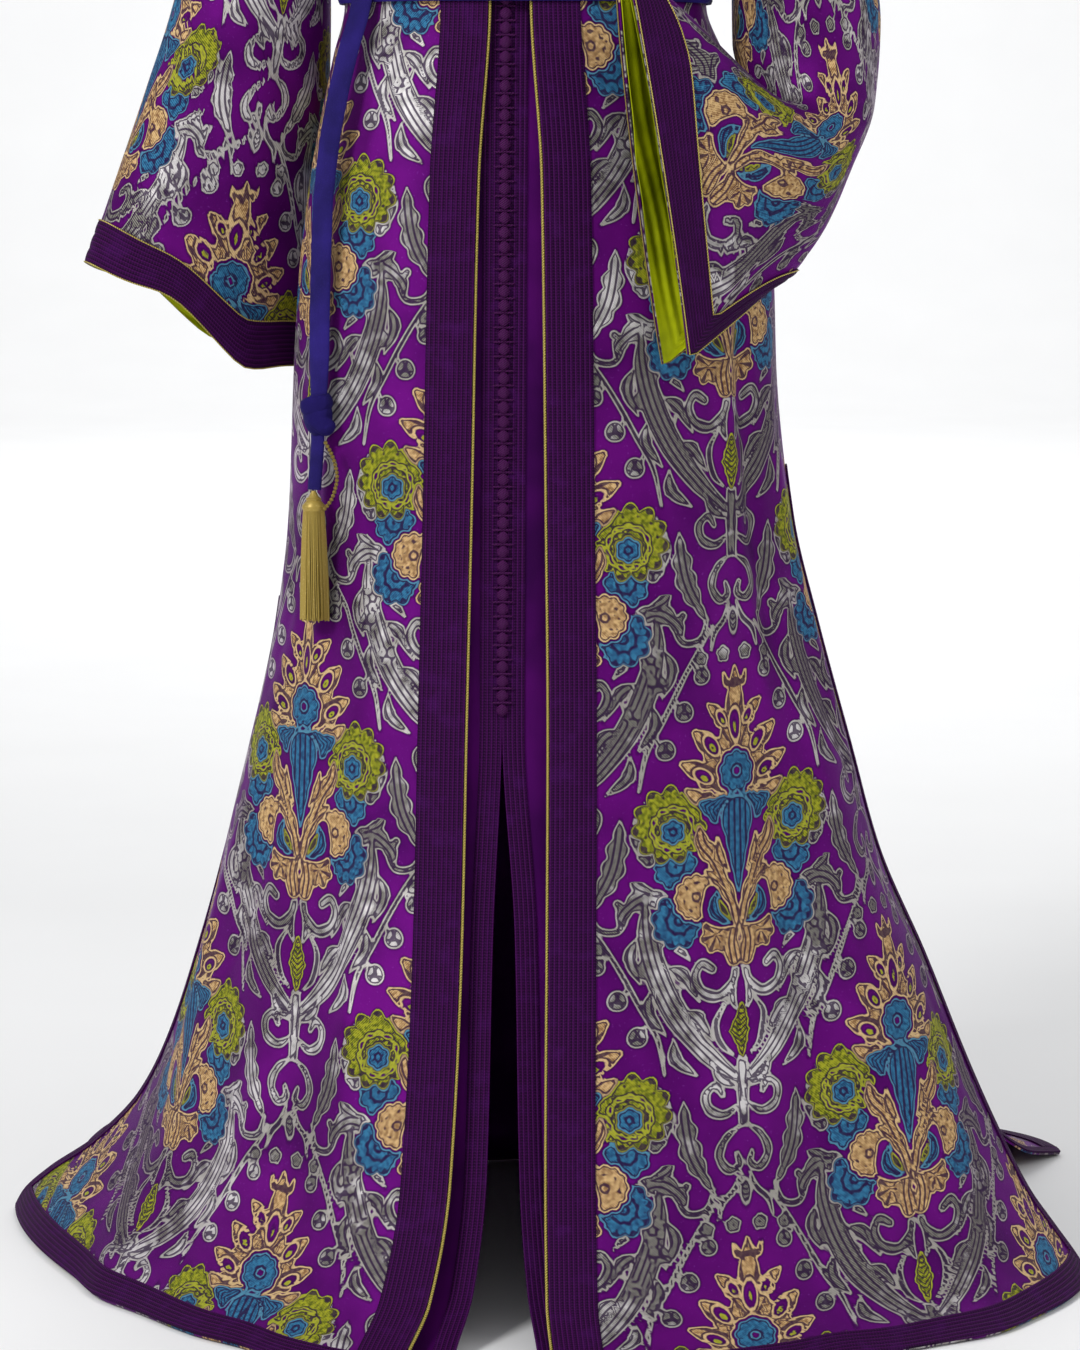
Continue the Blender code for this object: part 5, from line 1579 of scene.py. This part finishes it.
print({side: len(rings) for side, rings in SLEEVES.items()}, "rings after the armhole")

# %% [markdown]
# Each ring is drawn by given numbers: its outer and inner point, how far it bows out in front and behind, and a
# corner that pulls its lower edge down. Points are shared out so that ring after ring lines up.

# %% The sleeves' rings
ARMHOLE_STRIP = 0.02
ARMHOLE_ROWS = 6
SLEEVE_FALL = 126
CUFF_ROWS = 18
CUFF_BAND = 0.038
LINING_DEPTH = 0.110
SLEEVE_CORNER = {"left": 0.57, "right": 0.2061}
CORNER_STEP = 3 * ARM_STEPS / 10


def ring_shares(side, towards_cuff):
    """How far across the arm a ring's points lie. The right sleeve's grow even, with a step at its cuff's corner."""
    angle = np.linspace(0, 2 * math.pi, 2 * ARM_STEPS, endpoint=False)
    share = (1 - np.cos(angle)) / 2
    if side == "left":
        return share
    step = ARM_STEPS - np.abs(ARM_STEPS - np.arange(2 * ARM_STEPS))
    even = np.interp(step, (0, CORNER_STEP, ARM_STEPS), (0, SLEEVE_CORNER[side], 1))
    return share + (even - share) * towards_cuff


def ring_points(side, row, towards_cuff):
    """One ring of a sleeve: down the front from the outer to the inner point, and back up behind."""
    values = dict(zip(SLEEVE_COLUMNS.split(), row))
    outer, inner = np.array(values["outer"]), np.array(values["inner"])
    share = ring_shares(side, towards_cuff)
    angle = np.arccos(1 - 2 * share)
    angle[ARM_STEPS + 1 :] = 2 * math.pi - angle[ARM_STEPS + 1 :]
    run = inner - outer
    facing = np.array([run[1], -run[0], 0.0])
    facing *= -np.sign(facing[1]) / np.linalg.norm(facing)
    bow = np.where(angle <= math.pi, values["front"], values["back"]) * np.sin(angle)
    corner = SLEEVE_CORNER[side]
    tent = np.minimum(share / corner, (1 - share) / (1 - corner))
    pull = np.where((angle <= math.pi)[:, None], values["corner_front"], values["corner_back"])
    points = outer + run * share[:, None] + facing * bow[:, None] + pull * tent[:, None]
    return points - np.array([0.0, 0.0, SHOULDER_HEIGHT])


print("rings have", 2 * ARM_STEPS, "points")

# %% [markdown]
# The sleeve's first ring is the coat's armhole, so the two walls must not cross there. Each direction along the seam
# is turned until it no longer leans into the coat.

# %% The armhole seam
def round_armhole(side, front, back):
    """One value for each point round an armhole, down the front and up the back."""
    column = 0 if side == "left" else -1
    return np.concatenate([front[: ARM_STEPS + 1, -1], back[ARM_STEPS - 1 : 0 : -1, column]])


def seam_normals(own, edge, coat_normals, outside):
    """A sleeve's normals along the armhole, turned so that its wall keeps off the coat's."""
    tangent = np.roll(edge, -1, axis=0) - np.roll(edge, 1, axis=0)
    into_coat = np.cross(tangent, coat_normals)
    into_coat /= np.linalg.norm(into_coat, axis=1, keepdims=True)
    top = np.argmax(edge[:, 2])
    if np.dot(into_coat[top], outside[top] - edge[top]) > 0:
        into_coat = -into_coat
    towards = np.minimum(np.sum(own * into_coat, axis=1), 0.0)
    turned = own - into_coat * towards[:, None]
    return turned / np.linalg.norm(turned, axis=1, keepdims=True)


print("armhole seam opens", 1000 * SEAM, "mm")

# %% [markdown]
# The tube's rows are spread evenly down its length, with closer ones at the seam and the cuff. Creases at the elbow
# and under the arm are troughs listed one by one, as uneven as real ones, and the left cuff waves a little in front.

# %% The sleeves' cloth
CUFF_WAVE_START = 0.55


def sleeve_cloth(side):
    """A sleeve's grid: drawn through its rings from the armhole to the cuff, and then creased."""
    front, back = coat["front_" + side], coat["back"]
    seam = np.array([-SEAM if side == "left" else SEAM, 0.0, 0.0])
    armhole = round_armhole(side, front.points, back.points) + seam
    table = SLEEVES[side]
    rings = [ring_points(side, row, (number + 1) / len(table)) for number, row in enumerate(table)]
    rings = np.array([armhole] + rings)
    number = np.arange(len(rings), dtype=float)
    fine = np.linspace(0, len(rings) - 1, CURVE_SAMPLES)
    down = (ARMHOLE_ROWS, SLEEVE_FALL, CUFF_ROWS)
    columns = []
    for column in range(rings.shape[1]):
        line = np.stack([smooth_through(number, rings[:, column, axis], fine) for axis in range(3)], axis=1)
        columns.append(read_line(line, spread_places(lengths(line)[-1], ARMHOLE_STRIP, CUFF_BAND, down)))
    points = np.stack(columns, axis=1)
    if side == "left":
        points[:, :, 2] += cuff_wave(points.shape[0])
    centre = points.mean(axis=1, keepdims=True)
    normals = normals_of(points, centre, ring=True)
    moved = points + normals * sleeve_creases(side, points)[:, :, None]
    normals = normals_of(moved, centre, ring=True)
    normals[0] = seam_normals(normals[0], armhole, round_armhole(side, front.normals, back.normals), moved[1])
    cloth = Cloth(moved, normals)
    cloth.along += armhole[:, 2].max() - armhole[:, 2]
    return cloth


def cuff_wave(rows):
    """The left cuff isn't straight in front: it rises a little near the arm's outer side and then sinks."""
    late = np.clip((np.arange(rows) / (rows - 1) - CUFF_WAVE_START) / (1 - CUFF_WAVE_START), 0, 1)[:, None] ** 2
    share = (1 - np.cos(np.linspace(0, 2 * math.pi, 2 * ARM_STEPS, endpoint=False))) / 2
    wave = 0.014 * np.exp(-(((share - 0.30) / 0.15) ** 2)) - 0.006 * np.exp(-(((share - 0.62) / 0.12) ** 2))
    return late * wave


# Creases round the sleeves: where each starts and ends, as shares round the arm and along it, and its half width and
# its depth, both as shares of the sleeve's length. Cloth this stiff keeps under half of that depth.
SLEEVE_LENGTH = 0.55
STIFFNESS = 0.45
SLEEVE_CREASES = {
    "left": (
        (0.06, 0.20, 0.30, 0.30, 0.020, -0.010), (0.34, 0.14, 0.50, 0.26, 0.018, -0.010),
        (0.10, 0.48, 0.36, 0.56, 0.022, -0.008), (0.60, 0.30, 0.90, 0.36, 0.022, -0.010),
        (0.58, 0.56, 0.86, 0.64, 0.024, -0.008), (0.20, 0.72, 0.30, 0.90, 0.020, -0.006),
        (0.70, 0.74, 0.76, 0.90, 0.022, -0.006),
    ),
    "right": (
        (0.06, 0.20, 0.32, 0.28, 0.020, -0.010), (0.30, 0.14, 0.48, 0.22, 0.018, -0.010),
        (0.10, 0.42, 0.34, 0.50, 0.022, -0.010), (0.14, 0.54, 0.40, 0.60, 0.020, -0.010),
        (0.58, 0.40, 0.84, 0.48, 0.022, -0.010), (0.62, 0.58, 0.88, 0.62, 0.022, -0.008),
        (0.10, 0.70, 0.22, 0.80, 0.020, -0.006), (0.80, 0.74, 0.92, 0.86, 0.020, -0.006),
    ),
}


def sleeve_creases(side, points):
    """How far the sleeve's creases move each point."""
    rows, columns = points.shape[:2]
    round_arm = (np.arange(columns) / columns)[None, :]
    along = (np.arange(rows) / (rows - 1))[:, None]
    moved = np.zeros((rows, columns))
    for from_u, from_v, to_u, to_v, half_width, depth in SLEEVE_CREASES[side]:
        moved += crease(round_arm - from_u, along - from_v, to_u - from_u, to_v - from_v, half_width, depth)
    fade = np.clip(along / 0.08, 0, 1) * np.clip((1 - along) / 0.1, 0, 1)
    return moved * SLEEVE_LENGTH * STIFFNESS * fade


sleeves = {side: sleeve_cloth(side) for side in ("left", "right")}
print({side: cloth.points.shape[:2] for side, cloth in sleeves.items()})

# %% [markdown]
# The same motif is woven round the sleeves, four columns to a ring, so that the pattern meets itself at the seam. The
# pattern needs more points than the form does, so the brocade is read at a finer grid than the cuff.

# %% Brocade sleeves
SLEEVE_ROWS = 170
SLEEVE_MOTIFS = 4
# How far down each sleeve its first vase is.
SLEEVE_VASES = {"left": 0.42, "right": 0.30}


def ring_uv(cloth):
    """The places of a ring's points across and along, with the seam's second side added."""
    return np.stack([own_uv(cloth.points, True)[:, :, 0], -closed_round(cloth.along)], axis=2)


def finer_ring(cloth, rows, columns):
    """The same sleeve read at more rows and columns, its last column meeting its first."""
    parts = [closed_round(kept) for kept in (cloth.points, cloth.normals, cloth.across, cloth.along)]
    return Cloth(*parts).finer(rows, columns).part(slice(None), slice(0, -1))


for side, coarse in sleeves.items():
    cloth = finer_ring(coarse, SLEEVE_ROWS, 4 * ARM_STEPS)
    rows, columns = cloth.points.shape[:2]
    round_arm = np.broadcast_to(np.arange(columns) / columns * SLEEVE_MOTIFS * COLUMN_PITCH, (rows, columns))
    marks = brocade_marks(round_arm, cloth.along, even_columns(0.0, SLEEVE_VASES[side], SLEEVE_MOTIFS + 1))
    made = wall(
        "brocade_sleeve_" + side, cloth, 0.0, COAT_THICK, brocade, "brocade", "sleeve_" + side,
        ring=True, uv=ring_uv(cloth), marks=marks, plain=2,
    )
    "brocade_front_" + side
print("the pattern reads", SLEEVE_ROWS, "rows down a sleeve")

# %% [markdown]
# A braid band closes each sleeve. It is the tube's last rows again, standing out by the band's thickness, with three
# broad ribs round it.

# %% Cuff bands
CUFF_RIBS = 3
CUFF_RIB_RISE = 0.0007
for side, cloth in sleeves.items():
    cuff = cloth.part(slice(-CUFF_ROWS - 1, None), slice(None))
    width = np.broadcast_to(np.linspace(0, CUFF_BAND, CUFF_ROWS + 1)[:, None], cuff.points.shape[:2])
    rise = ribbed(width, CUFF_BAND, CUFF_RIBS, CUFF_RIB_RISE)
    made = wall(
        "braid_cuff_" + side, cuff, SEAM + BAND_THICK + rise, BAND_THICK + rise, band, "band", "cuff_band_" + side,
        ring=True, uv=np.stack([closed_round(width), ring_uv(cuff)[:, :, 0]], axis=2),
    )
    "brocade_sleeve_" + side
print("the cuff bands are", 1000 * CUFF_BAND, "mm wide")

# %% [markdown]
# Lime satin lines the sleeves, a little deeper than one sees into them. It lies inside the tube, so its distance out
# is below nought, and small ruffles across it come from a sine wave whose phase wanders.

# %% Sleeve linings
RUFFLE_PITCH = 0.0125
RUFFLE_RISE = 0.0011
RUFFLE_FADE = 0.01
RUFFLE_END = LINING_DEPTH - 0.002
for side, cloth in sleeves.items():
    deep = int(np.argmin(np.abs(cloth.along[:, 0] - (cloth.along[-1, 0] - LINING_DEPTH))))
    lining = cloth.part(slice(deep, None), slice(None)).finer(64, 0)
    turn = np.arange(lining.points.shape[1])[None, :] * (2 * math.pi / lining.points.shape[1])
    down = lining.along - lining.along[:1]
    ruffle = np.sin(2 * math.pi * down / RUFFLE_PITCH + 1.3 * np.sin(2 * turn) + 0.9 * np.sin(5 * turn + 40 * down))
    fade = np.clip(down / RUFFLE_FADE, 0, 1) * np.clip((RUFFLE_END - down) / RUFFLE_FADE, 0, 1)
    depth = COAT_THICK + SEAM + RUFFLE_RISE * (1 + ruffle) * fade
    made = wall(
        "lime_lining_" + side, lining, -depth, LINING_THICK, lime, "lining", "sleeve_lining_" + side,
        ring=True, uv=ring_uv(lining),
    )
    "brocade_sleeve_" + side
print("the linings are", 1000 * LINING_DEPTH, "mm deep")

# %% [markdown]
# A very thin gold cord runs along both edges of each cuff band. It is a closed ring of small rings, with no ends.

# %% Gold edge of the cuffs
EDGE_CORD = 0.0011
EDGE_SIDES = 6
for side, cloth in sleeves.items():
    for name, row in (("upper", -CUFF_ROWS - 1), ("lower", -1)):
        line = cloth.points[row] + cloth.normals[row] * (SEAM + BAND_THICK + EDGE_CORD * 0.4)
        route = np.concatenate([line, line[:1]])
        outward = np.concatenate([cloth.normals[row], cloth.normals[row][:1]])
        rings = round_rings(route, EDGE_CORD / 2, EDGE_CORD / 2, outward, EDGE_SIDES)[:-1]
        tube("cuff_cord_" + name + "_" + side, rings, piping, "piping", endless=True)
print("the edge cords are", 1000 * EDGE_CORD, "mm thick")

# %% [markdown]
# Under the coat hangs a plain satin dress of three panels, read from the same tables, a little inside the coat. Its
# fronts meet at the middle down to the last button, and part below.

# %% The underdress
PLACKET = 0.018
PLACKET_RIBS = 6
PLACKET_RIB_RISE = 0.0002
UNDER_SIDE = 0.02
UNDER_SLIT_TOP = 0.46
UNDER_COUNTS = (4, 34, 2)
UNDER_BACK_COUNTS = (2, 52, 2)
UNDER_ROWS = 150
UNDER_BACK_ROWS = 90
UNDER_HEM_ROWS = 4
under = {}
for side in ("left", "right"):
    under["under_" + side] = panel_grid(
        lambda heights, side=side: UNDER.rows(side, "front", heights),
        PLACKET, UNDER_SIDE, UNDER_COUNTS, UNDER_ROWS, UNDER_HEM_ROWS,
    )
under["under_back"] = panel_grid(
    lambda heights: across_back(UNDER, heights),
    UNDER_SIDE, UNDER_SIDE, UNDER_BACK_COUNTS, UNDER_BACK_ROWS, UNDER_HEM_ROWS,
)
for name, points in under.items():
    under[name] = Cloth(points, normals_of(points, axis_of(points)))
    under[name].along -= under[name].along[ARM_STEPS + LEVEL_ROWS]
share_normals(under, "under_", "under_back", {"left": 0.0, "right": 0.0})
print({name: cloth.points.shape[:2] for name, cloth in under.items()})

# %% [markdown]
# The panels and their striped bands are walls like the coat's. Where the fronts meet, both share one direction, so
# that the bands lie side by side and leave an even gap for the buttons.

# %% The underdress's panels and bands
middle = under["under_left"].normals[:, 0] + under["under_right"].normals[:, 0]
middle /= np.linalg.norm(middle, axis=1, keepdims=True)
for side in ("left", "right"):
    joined = under["under_" + side].points[:, 0, 2] + SHOULDER_HEIGHT > UNDER_SLIT_TOP
    under["under_" + side].normals[joined, 0] = middle[joined]
    panel = under["under_" + side].trimmed(top=half, first=half, last=half)
    made = wall(
        "satin_front_" + side, panel, 0.0, UNDER_THICK, satin, "satin", "under_front_" + side, uv=panel.uv(),
    )
    edge = under["under_" + side].part(slice(None), slice(0, UNDER_COUNTS[0] + 1)).trimmed(first=half)
    made = trimming(
        "striped_placket_" + side, "placket_" + side, edge, PLACKET, PLACKET_RIBS, PLACKET_RIB_RISE, columns=18,
    )
    "satin_front_" + side
panel = under["under_back"].trimmed(top=half, first=half, last=half)
made = wall("satin_back", panel, 0.0, UNDER_THICK, satin, "satin", "under_back", uv=panel.uv())
print("the underdress is", 1000 * UNDER_THICK, "mm thick")

# %% [markdown]
# A close row of small knotted buttons closes the underdress. Each is a sphere pressed flat with four slight swells,
# and a thin bar above it is its loop. More than seventy of them share one mesh, so each is made of few faces.

# %% Buttons
BUTTON_PITCH = 0.0117
BUTTON_WIDTH = 0.009
BUTTON_RISE = 0.0040
STRIP_RISE = 0.0010
BUTTON_BASE = 2 * SEAM + BAND_THICK + SEAM / 2
LOOP_OUT = 0.0016
LOOP_DEEP = 0.0011
LOOP_HIGH = 0.0012


def button_row():
    """Every button and loop, spaced along the closing from the neck to the slit."""
    panel = under["under_left"]
    joined = panel.points[:, 0, 2] + SHOULDER_HEIGHT > UNDER_SLIT_TOP - NEAR
    line, facing = panel.points[joined, 0], panel.normals[joined, 0]
    along = lengths(line)
    count = int((along[-1] - BUTTON_PITCH / 2) / BUTTON_PITCH)
    mesh = bmesh.new()
    for number in range(count):
        place = BUTTON_PITCH * (number + 1)
        centre = read_line(line, [place])[0]
        normal = np.array([np.interp(place, along, facing[:, axis]) for axis in range(3)])
        centre = centre + normal * (BUTTON_BASE + STRIP_RISE + BUTTON_RISE * 0.38)
        made = bmesh.ops.create_uvsphere(mesh, u_segments=12, v_segments=8, radius=1.0)
        for vertex in made["verts"]:
            x, y, z = vertex.co
            turn = math.atan2(y, x)
            swell = 1 + 0.09 * math.cos(4 * turn + 2.5 * z) * (1 - z * z)
            vertex.co = (
                centre[0] + x * swell * BUTTON_WIDTH * 0.50, centre[1] + y * swell * BUTTON_RISE * 0.62,
                centre[2] + z * BUTTON_PITCH * 0.43,
            )
        loops = bmesh.ops.create_uvsphere(mesh, u_segments=6, v_segments=8, radius=1.0)
        for vertex in loops["verts"]:
            x, y, z = vertex.co
            vertex.co = (
                centre[0] + z * BUTTON_WIDTH * 1.02, centre[1] + y * LOOP_DEEP + LOOP_OUT,
                centre[2] + x * LOOP_HIGH + BUTTON_PITCH / 2,
            )
    bmesh.ops.recalc_face_normals(mesh, faces=mesh.faces[:])
    return add_piece("knotted_buttons", mesh_data("knotted_buttons", mesh), button_thread, "button", "button_row")


buttons = button_row()
print(len(buttons.data.polygons), "faces in the button row")

# %% [markdown]
# The belt is a soft navy sash drawn tight over both layers. It takes the coat's rows at the waist, all the way round,
# and stands out over the bands. Uneven pleats along it are a folded sine wave.

# %% Belt
BELT_TOP = 1.100
BELT_THICK = 0.0025
PLEATS = 3.5
PLEAT_RISE = 0.0016
PLEAT_FADE = 0.06
heights = coat["back"].points[:, 0, 2] + SHOULDER_HEIGHT
belt_rows = np.flatnonzero((heights > BELT_FOOT - 1e-4) & (heights < BELT_TOP + 1e-3))
belt_rows = slice(belt_rows[0], belt_rows[-1] + 1)
parts = [coat[name].part(belt_rows, slice(None)) for name in ("front_left", "front_right", "back")]
belt_points, belt_normals = (
    np.concatenate([left[:, ::-1], right, back[:, -2:0:-1]], axis=1)
    for left, right, back in ([part.points for part in parts], [part.normals for part in parts])
)
belt_out = 2 * SEAM + BAND_THICK + BELT_THICK
belt = Cloth(belt_points, belt_normals).finer(20, 0).part(slice(None), slice(None, None, 2))
belt_share = np.linspace(0, 1, belt.points.shape[0])[:, None]
belt_turn = np.arange(belt.points.shape[1])[None, :] * (2 * math.pi / belt.points.shape[1])
pleat_place = PLEATS * belt_share + 0.22 * np.sin(3 * belt_turn) + 0.12 * np.sin(7 * belt_turn)
pleat = PLEAT_RISE * np.abs(np.sin(math.pi * pleat_place)) ** 0.6
pleat = pleat * np.clip(belt_share / PLEAT_FADE, 0, 1) * np.clip((1 - belt_share) / PLEAT_FADE, 0, 1)
made = wall("navy_belt", belt, belt_out + pleat, BELT_THICK + pleat, navy, "navy", "belt", ring=True)
print("the belt has", belt.points.shape[1], "points round it")

# %% [markdown]
# The belt's end hangs down the left front. It is a flat cord on a route of given places, thinner below its knot.

# %% The tie
TIE_WIDTH = 0.020
TIE_DEPTH = 0.006
TIE_OUTWARD = np.array([-0.55, -0.83, 0.0])
TIE_ROUTE = (
    (-0.1304, -0.0850, 1.0940),
    (-0.1304, -0.0850, 1.0700),
    (-0.1310, -0.0856, 1.0500),
    (-0.1352, -0.0900, 1.0300),
    (-0.1420, -0.0960, 1.0080),
    (-0.1500, -0.1000, 0.9750),
    (-0.1570, -0.1020, 0.9400),
    (-0.1610, -0.1030, 0.9110),
    (-0.1640, -0.1040, 0.8820),
    (-0.1657, -0.1050, 0.8410),
    (-0.1670, -0.1060, 0.8000),
    (-0.1676, -0.1070, 0.7680),
    (-0.1680, -0.1080, 0.7346),
    (-0.1690, -0.1120, 0.7100),
    (-0.1695, -0.1110, 0.6860),
    (-0.1722, -0.1158, 0.6495),
)
TAIL_WIDTH = 0.013
# Where the tie narrows to its tail, through the knot: heights, and its width at each.
TIE_HEIGHTS = (0.640, 0.690, 0.725, 0.760)
TIE_WIDTHS = (TAIL_WIDTH, TAIL_WIDTH, 0.016, TIE_WIDTH)
route = np.array(TIE_ROUTE) - np.array([0.0, 0.0, SHOULDER_HEIGHT])
tie_path = read_line(route, np.linspace(0, lengths(route)[-1], 90))
tie_height = tie_path[:, 2] + SHOULDER_HEIGHT
tie_wide = np.interp(tie_height, TIE_HEIGHTS, TIE_WIDTHS) / 2
tie_rings = round_rings(tie_path, tie_wide, TIE_DEPTH / 2, TIE_OUTWARD, 20)
tie = tube("navy_tie", tie_rings, navy, "navy", "belt_tie", "tie_tail")
print("the tie is", round(float(lengths(tie_path)[-1]), 3), "m long")

# %% [markdown]
# The knot is three turns of cloth round a plump middle. Each turn is a circle spun round and flattened, since spin
# makes a ring from any outline, and its own tilt makes them cross as in a real knot.

# %% The knot
KNOT_CENTRE = (-0.1690, -0.1120, 0.7100)
KNOT_CORE = (0.024, 0.020, 0.034)
KNOT_FLATTENED = 0.72


def turn_of_cloth(mesh, reach, wide, deep, tilt, middle):
    """One turn of the tie wound round itself: an oval spun round, flattened and tilted."""
    made = bmesh.ops.create_circle(mesh, segments=14, radius=1.0)
    ring = made["verts"]
    for vertex in ring:
        x, y, _ = vertex.co
        vertex.co = (reach + x * wide, 0.0, y * deep)
    edges = list({edge for vertex in ring for edge in vertex.link_edges})
    spun = set(mesh.verts)
    bmesh.ops.spin(
        mesh, geom=ring + edges, cent=(0, 0, 0), axis=(0, 0, 1), dvec=(0, 0, 0), angle=2 * math.pi, steps=36,
        use_merge=True, use_duplicate=False,
    )
    whole = ring + [vertex for vertex in mesh.verts if vertex not in spun]
    cos, sin = math.cos(math.radians(tilt)), math.sin(math.radians(tilt))
    for vertex in whole:
        x, y, z = vertex.co
        swell = 1 + 0.10 * math.sin(2 * math.atan2(y, x) + tilt)
        x, y, z = x * swell, y * KNOT_FLATTENED, z * swell
        vertex.co = (x * cos - z * sin + middle[0], y + middle[1], x * sin + z * cos + middle[2])


def knot():
    """The tie's knot: turns of cloth wound across each other over a plump middle."""
    mesh = bmesh.new()
    x, y, z = world(*KNOT_CENTRE)
    bmesh.ops.create_uvsphere(mesh, u_segments=32, v_segments=20, radius=0.5)
    for vertex in mesh.verts:
        vertex.co = [part * size + middle for part, size, middle in zip(vertex.co, KNOT_CORE, (x, y, z))]
    turn_of_cloth(mesh, 0.0095, 0.0052, 0.0075, 18, (x - 0.001, y, z + 0.009))
    turn_of_cloth(mesh, 0.0100, 0.0050, 0.0070, -34, (x + 0.001, y, z - 0.005))
    turn_of_cloth(mesh, 0.0075, 0.0045, 0.0060, 62, (x + 0.002, y - 0.001, z + 0.001))
    bmesh.ops.recalc_face_normals(mesh, faces=mesh.faces[:])
    data = mesh_data("navy_knot", mesh)
    data.uv_layers.new(name="weave")
    return add_piece("navy_knot", data, navy, "navy", "tie_knot")


print("the knot's core is", 1000 * KNOT_CORE[2], "mm tall")

# %% [markdown]
# A short string of gold beads hangs beside the tail. Small icospheres stand along a rounded line.

# %% The beads
BEAD = 0.0017
BEAD_PATH = (
    (-0.1630, -0.1240, 0.6900),
    (-0.1560, -0.1260, 0.6760),
    (-0.1530, -0.1270, 0.6600),
    (-0.1570, -0.1280, 0.6440),
    (-0.1640, -0.1270, 0.6340),
)


def bead_string():
    """A short string of gold beads beside the tail, from the knot to the tassel's head."""
    path = np.array(BEAD_PATH) - np.array([0.0, 0.0, SHOULDER_HEIGHT])
    fine = np.linspace(0, len(path) - 1, 60)
    line = np.stack([round_through(path[:, axis], fine) for axis in range(3)], axis=1)
    places = np.arange(BEAD, lengths(line)[-1], BEAD * 1.9)
    mesh = bmesh.new()
    for centre in read_line(line, places):
        made = bmesh.ops.create_icosphere(mesh, subdivisions=2, radius=BEAD)
        bmesh.ops.translate(mesh, verts=made["verts"], vec=centre)
    data = mesh_data("gold_beads", mesh)
    data.uv_layers.new(name="weave")
    return add_piece("gold_beads", data, gold, "gold")


print("beads are", 2000 * BEAD, "mm wide")

# %% [markdown]
# The tassel is a skirt of fine strands under a turned head. A grid is rounded to a disc, each of its faces is inset
# and extruded down in four steps with a little sway, and the disc's rim is extruded up to make the head. The random
# draws start from a fixed number, so every run gives the same tassel.

# %% The tassel
TASSEL_TOP = (-0.1727, -0.1176, 0.6489)
TASSEL_HEAD = 0.016
TASSEL_LENGTH = 0.108
TASSEL_WIDTH = 0.025
TASSEL_CELLS = 14
STRAND_GAP = 0.00016
STRAND_SWAY = 0.0007
# How far the strands spread in each of their steps down.
STRAND_SPREAD = (0.13, 0.09, 0.06, 0.03)
# The head, turned from the disc's rim: each step scales the rim and lifts it by a share of the head's height.
HEAD_STEPS = ((1.06, 0.12), (1.0, 0.13), (0.62, 0.25), (1.10, 0.10), (0.64, 0.10), (0.40, 0.30))


def tassel():
    """A tassel: fine strands drawn down from a turned head."""
    draws = np.random.default_rng(7)
    mesh = bmesh.new()
    bmesh.ops.create_grid(mesh, x_segments=TASSEL_CELLS, y_segments=TASSEL_CELLS, size=1.0)
    radius = TASSEL_WIDTH / 2 * 0.72
    for vertex in mesh.verts:
        x, y = vertex.co.x, vertex.co.y
        vertex.co = (x * math.sqrt(1 - y * y / 2) * radius, y * math.sqrt(1 - x * x / 2) * radius, 0.0)
    cells = mesh.faces[:]
    bmesh.ops.inset_individual(mesh, faces=cells, thickness=STRAND_GAP)
    grown = bmesh.ops.extrude_discrete_faces(mesh, faces=cells)["faces"]
    for part, spread in enumerate(STRAND_SPREAD, start=1):
        for face in grown:
            centre = face.calc_center_median()
            length = (TASSEL_LENGTH - TASSEL_HEAD) / len(STRAND_SPREAD) * (0.94 + 0.06 * draws.random())
            sway = STRAND_SWAY * (draws.random(2) - 0.5)
            for vertex in face.verts:
                vertex.co.x += centre.x * spread + sway[0]
                vertex.co.y += centre.y * spread + sway[1]
                vertex.co.z -= length
        if part < len(STRAND_SPREAD):
            grown = bmesh.ops.extrude_discrete_faces(mesh, faces=grown)["faces"]
    rim = [edge for edge in mesh.edges if edge.is_boundary]
    for scale, rise in HEAD_STEPS:
        extruded = bmesh.ops.extrude_edge_only(mesh, edges=rim)["geom"]
        rim = [item for item in extruded if isinstance(item, bmesh.types.BMEdge) and item.is_boundary]
        for vertex in (item for item in extruded if isinstance(item, bmesh.types.BMVert)):
            vertex.co.x *= scale
            vertex.co.y *= scale
            vertex.co.z += TASSEL_HEAD * rise
    bmesh.ops.contextual_create(mesh, geom=rim)
    bmesh.ops.translate(mesh, verts=mesh.verts[:], vec=world(*TASSEL_TOP) - np.array([0, 0, TASSEL_HEAD]))
    bmesh.ops.recalc_face_normals(mesh, faces=mesh.faces[:])
    return add_piece("gold_tassel", mesh_data("gold_tassel", mesh), gold, "gold", "tassel")


made_knot, made_tassel, made_beads = knot(), tassel(), bead_string()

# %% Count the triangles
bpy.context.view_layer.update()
shown = [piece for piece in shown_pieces() if piece.type == "MESH"]
for piece in shown:
    piece.data.calc_loop_triangles()
print("triangles in all", sum(len(piece.data.loop_triangles) for piece in shown))
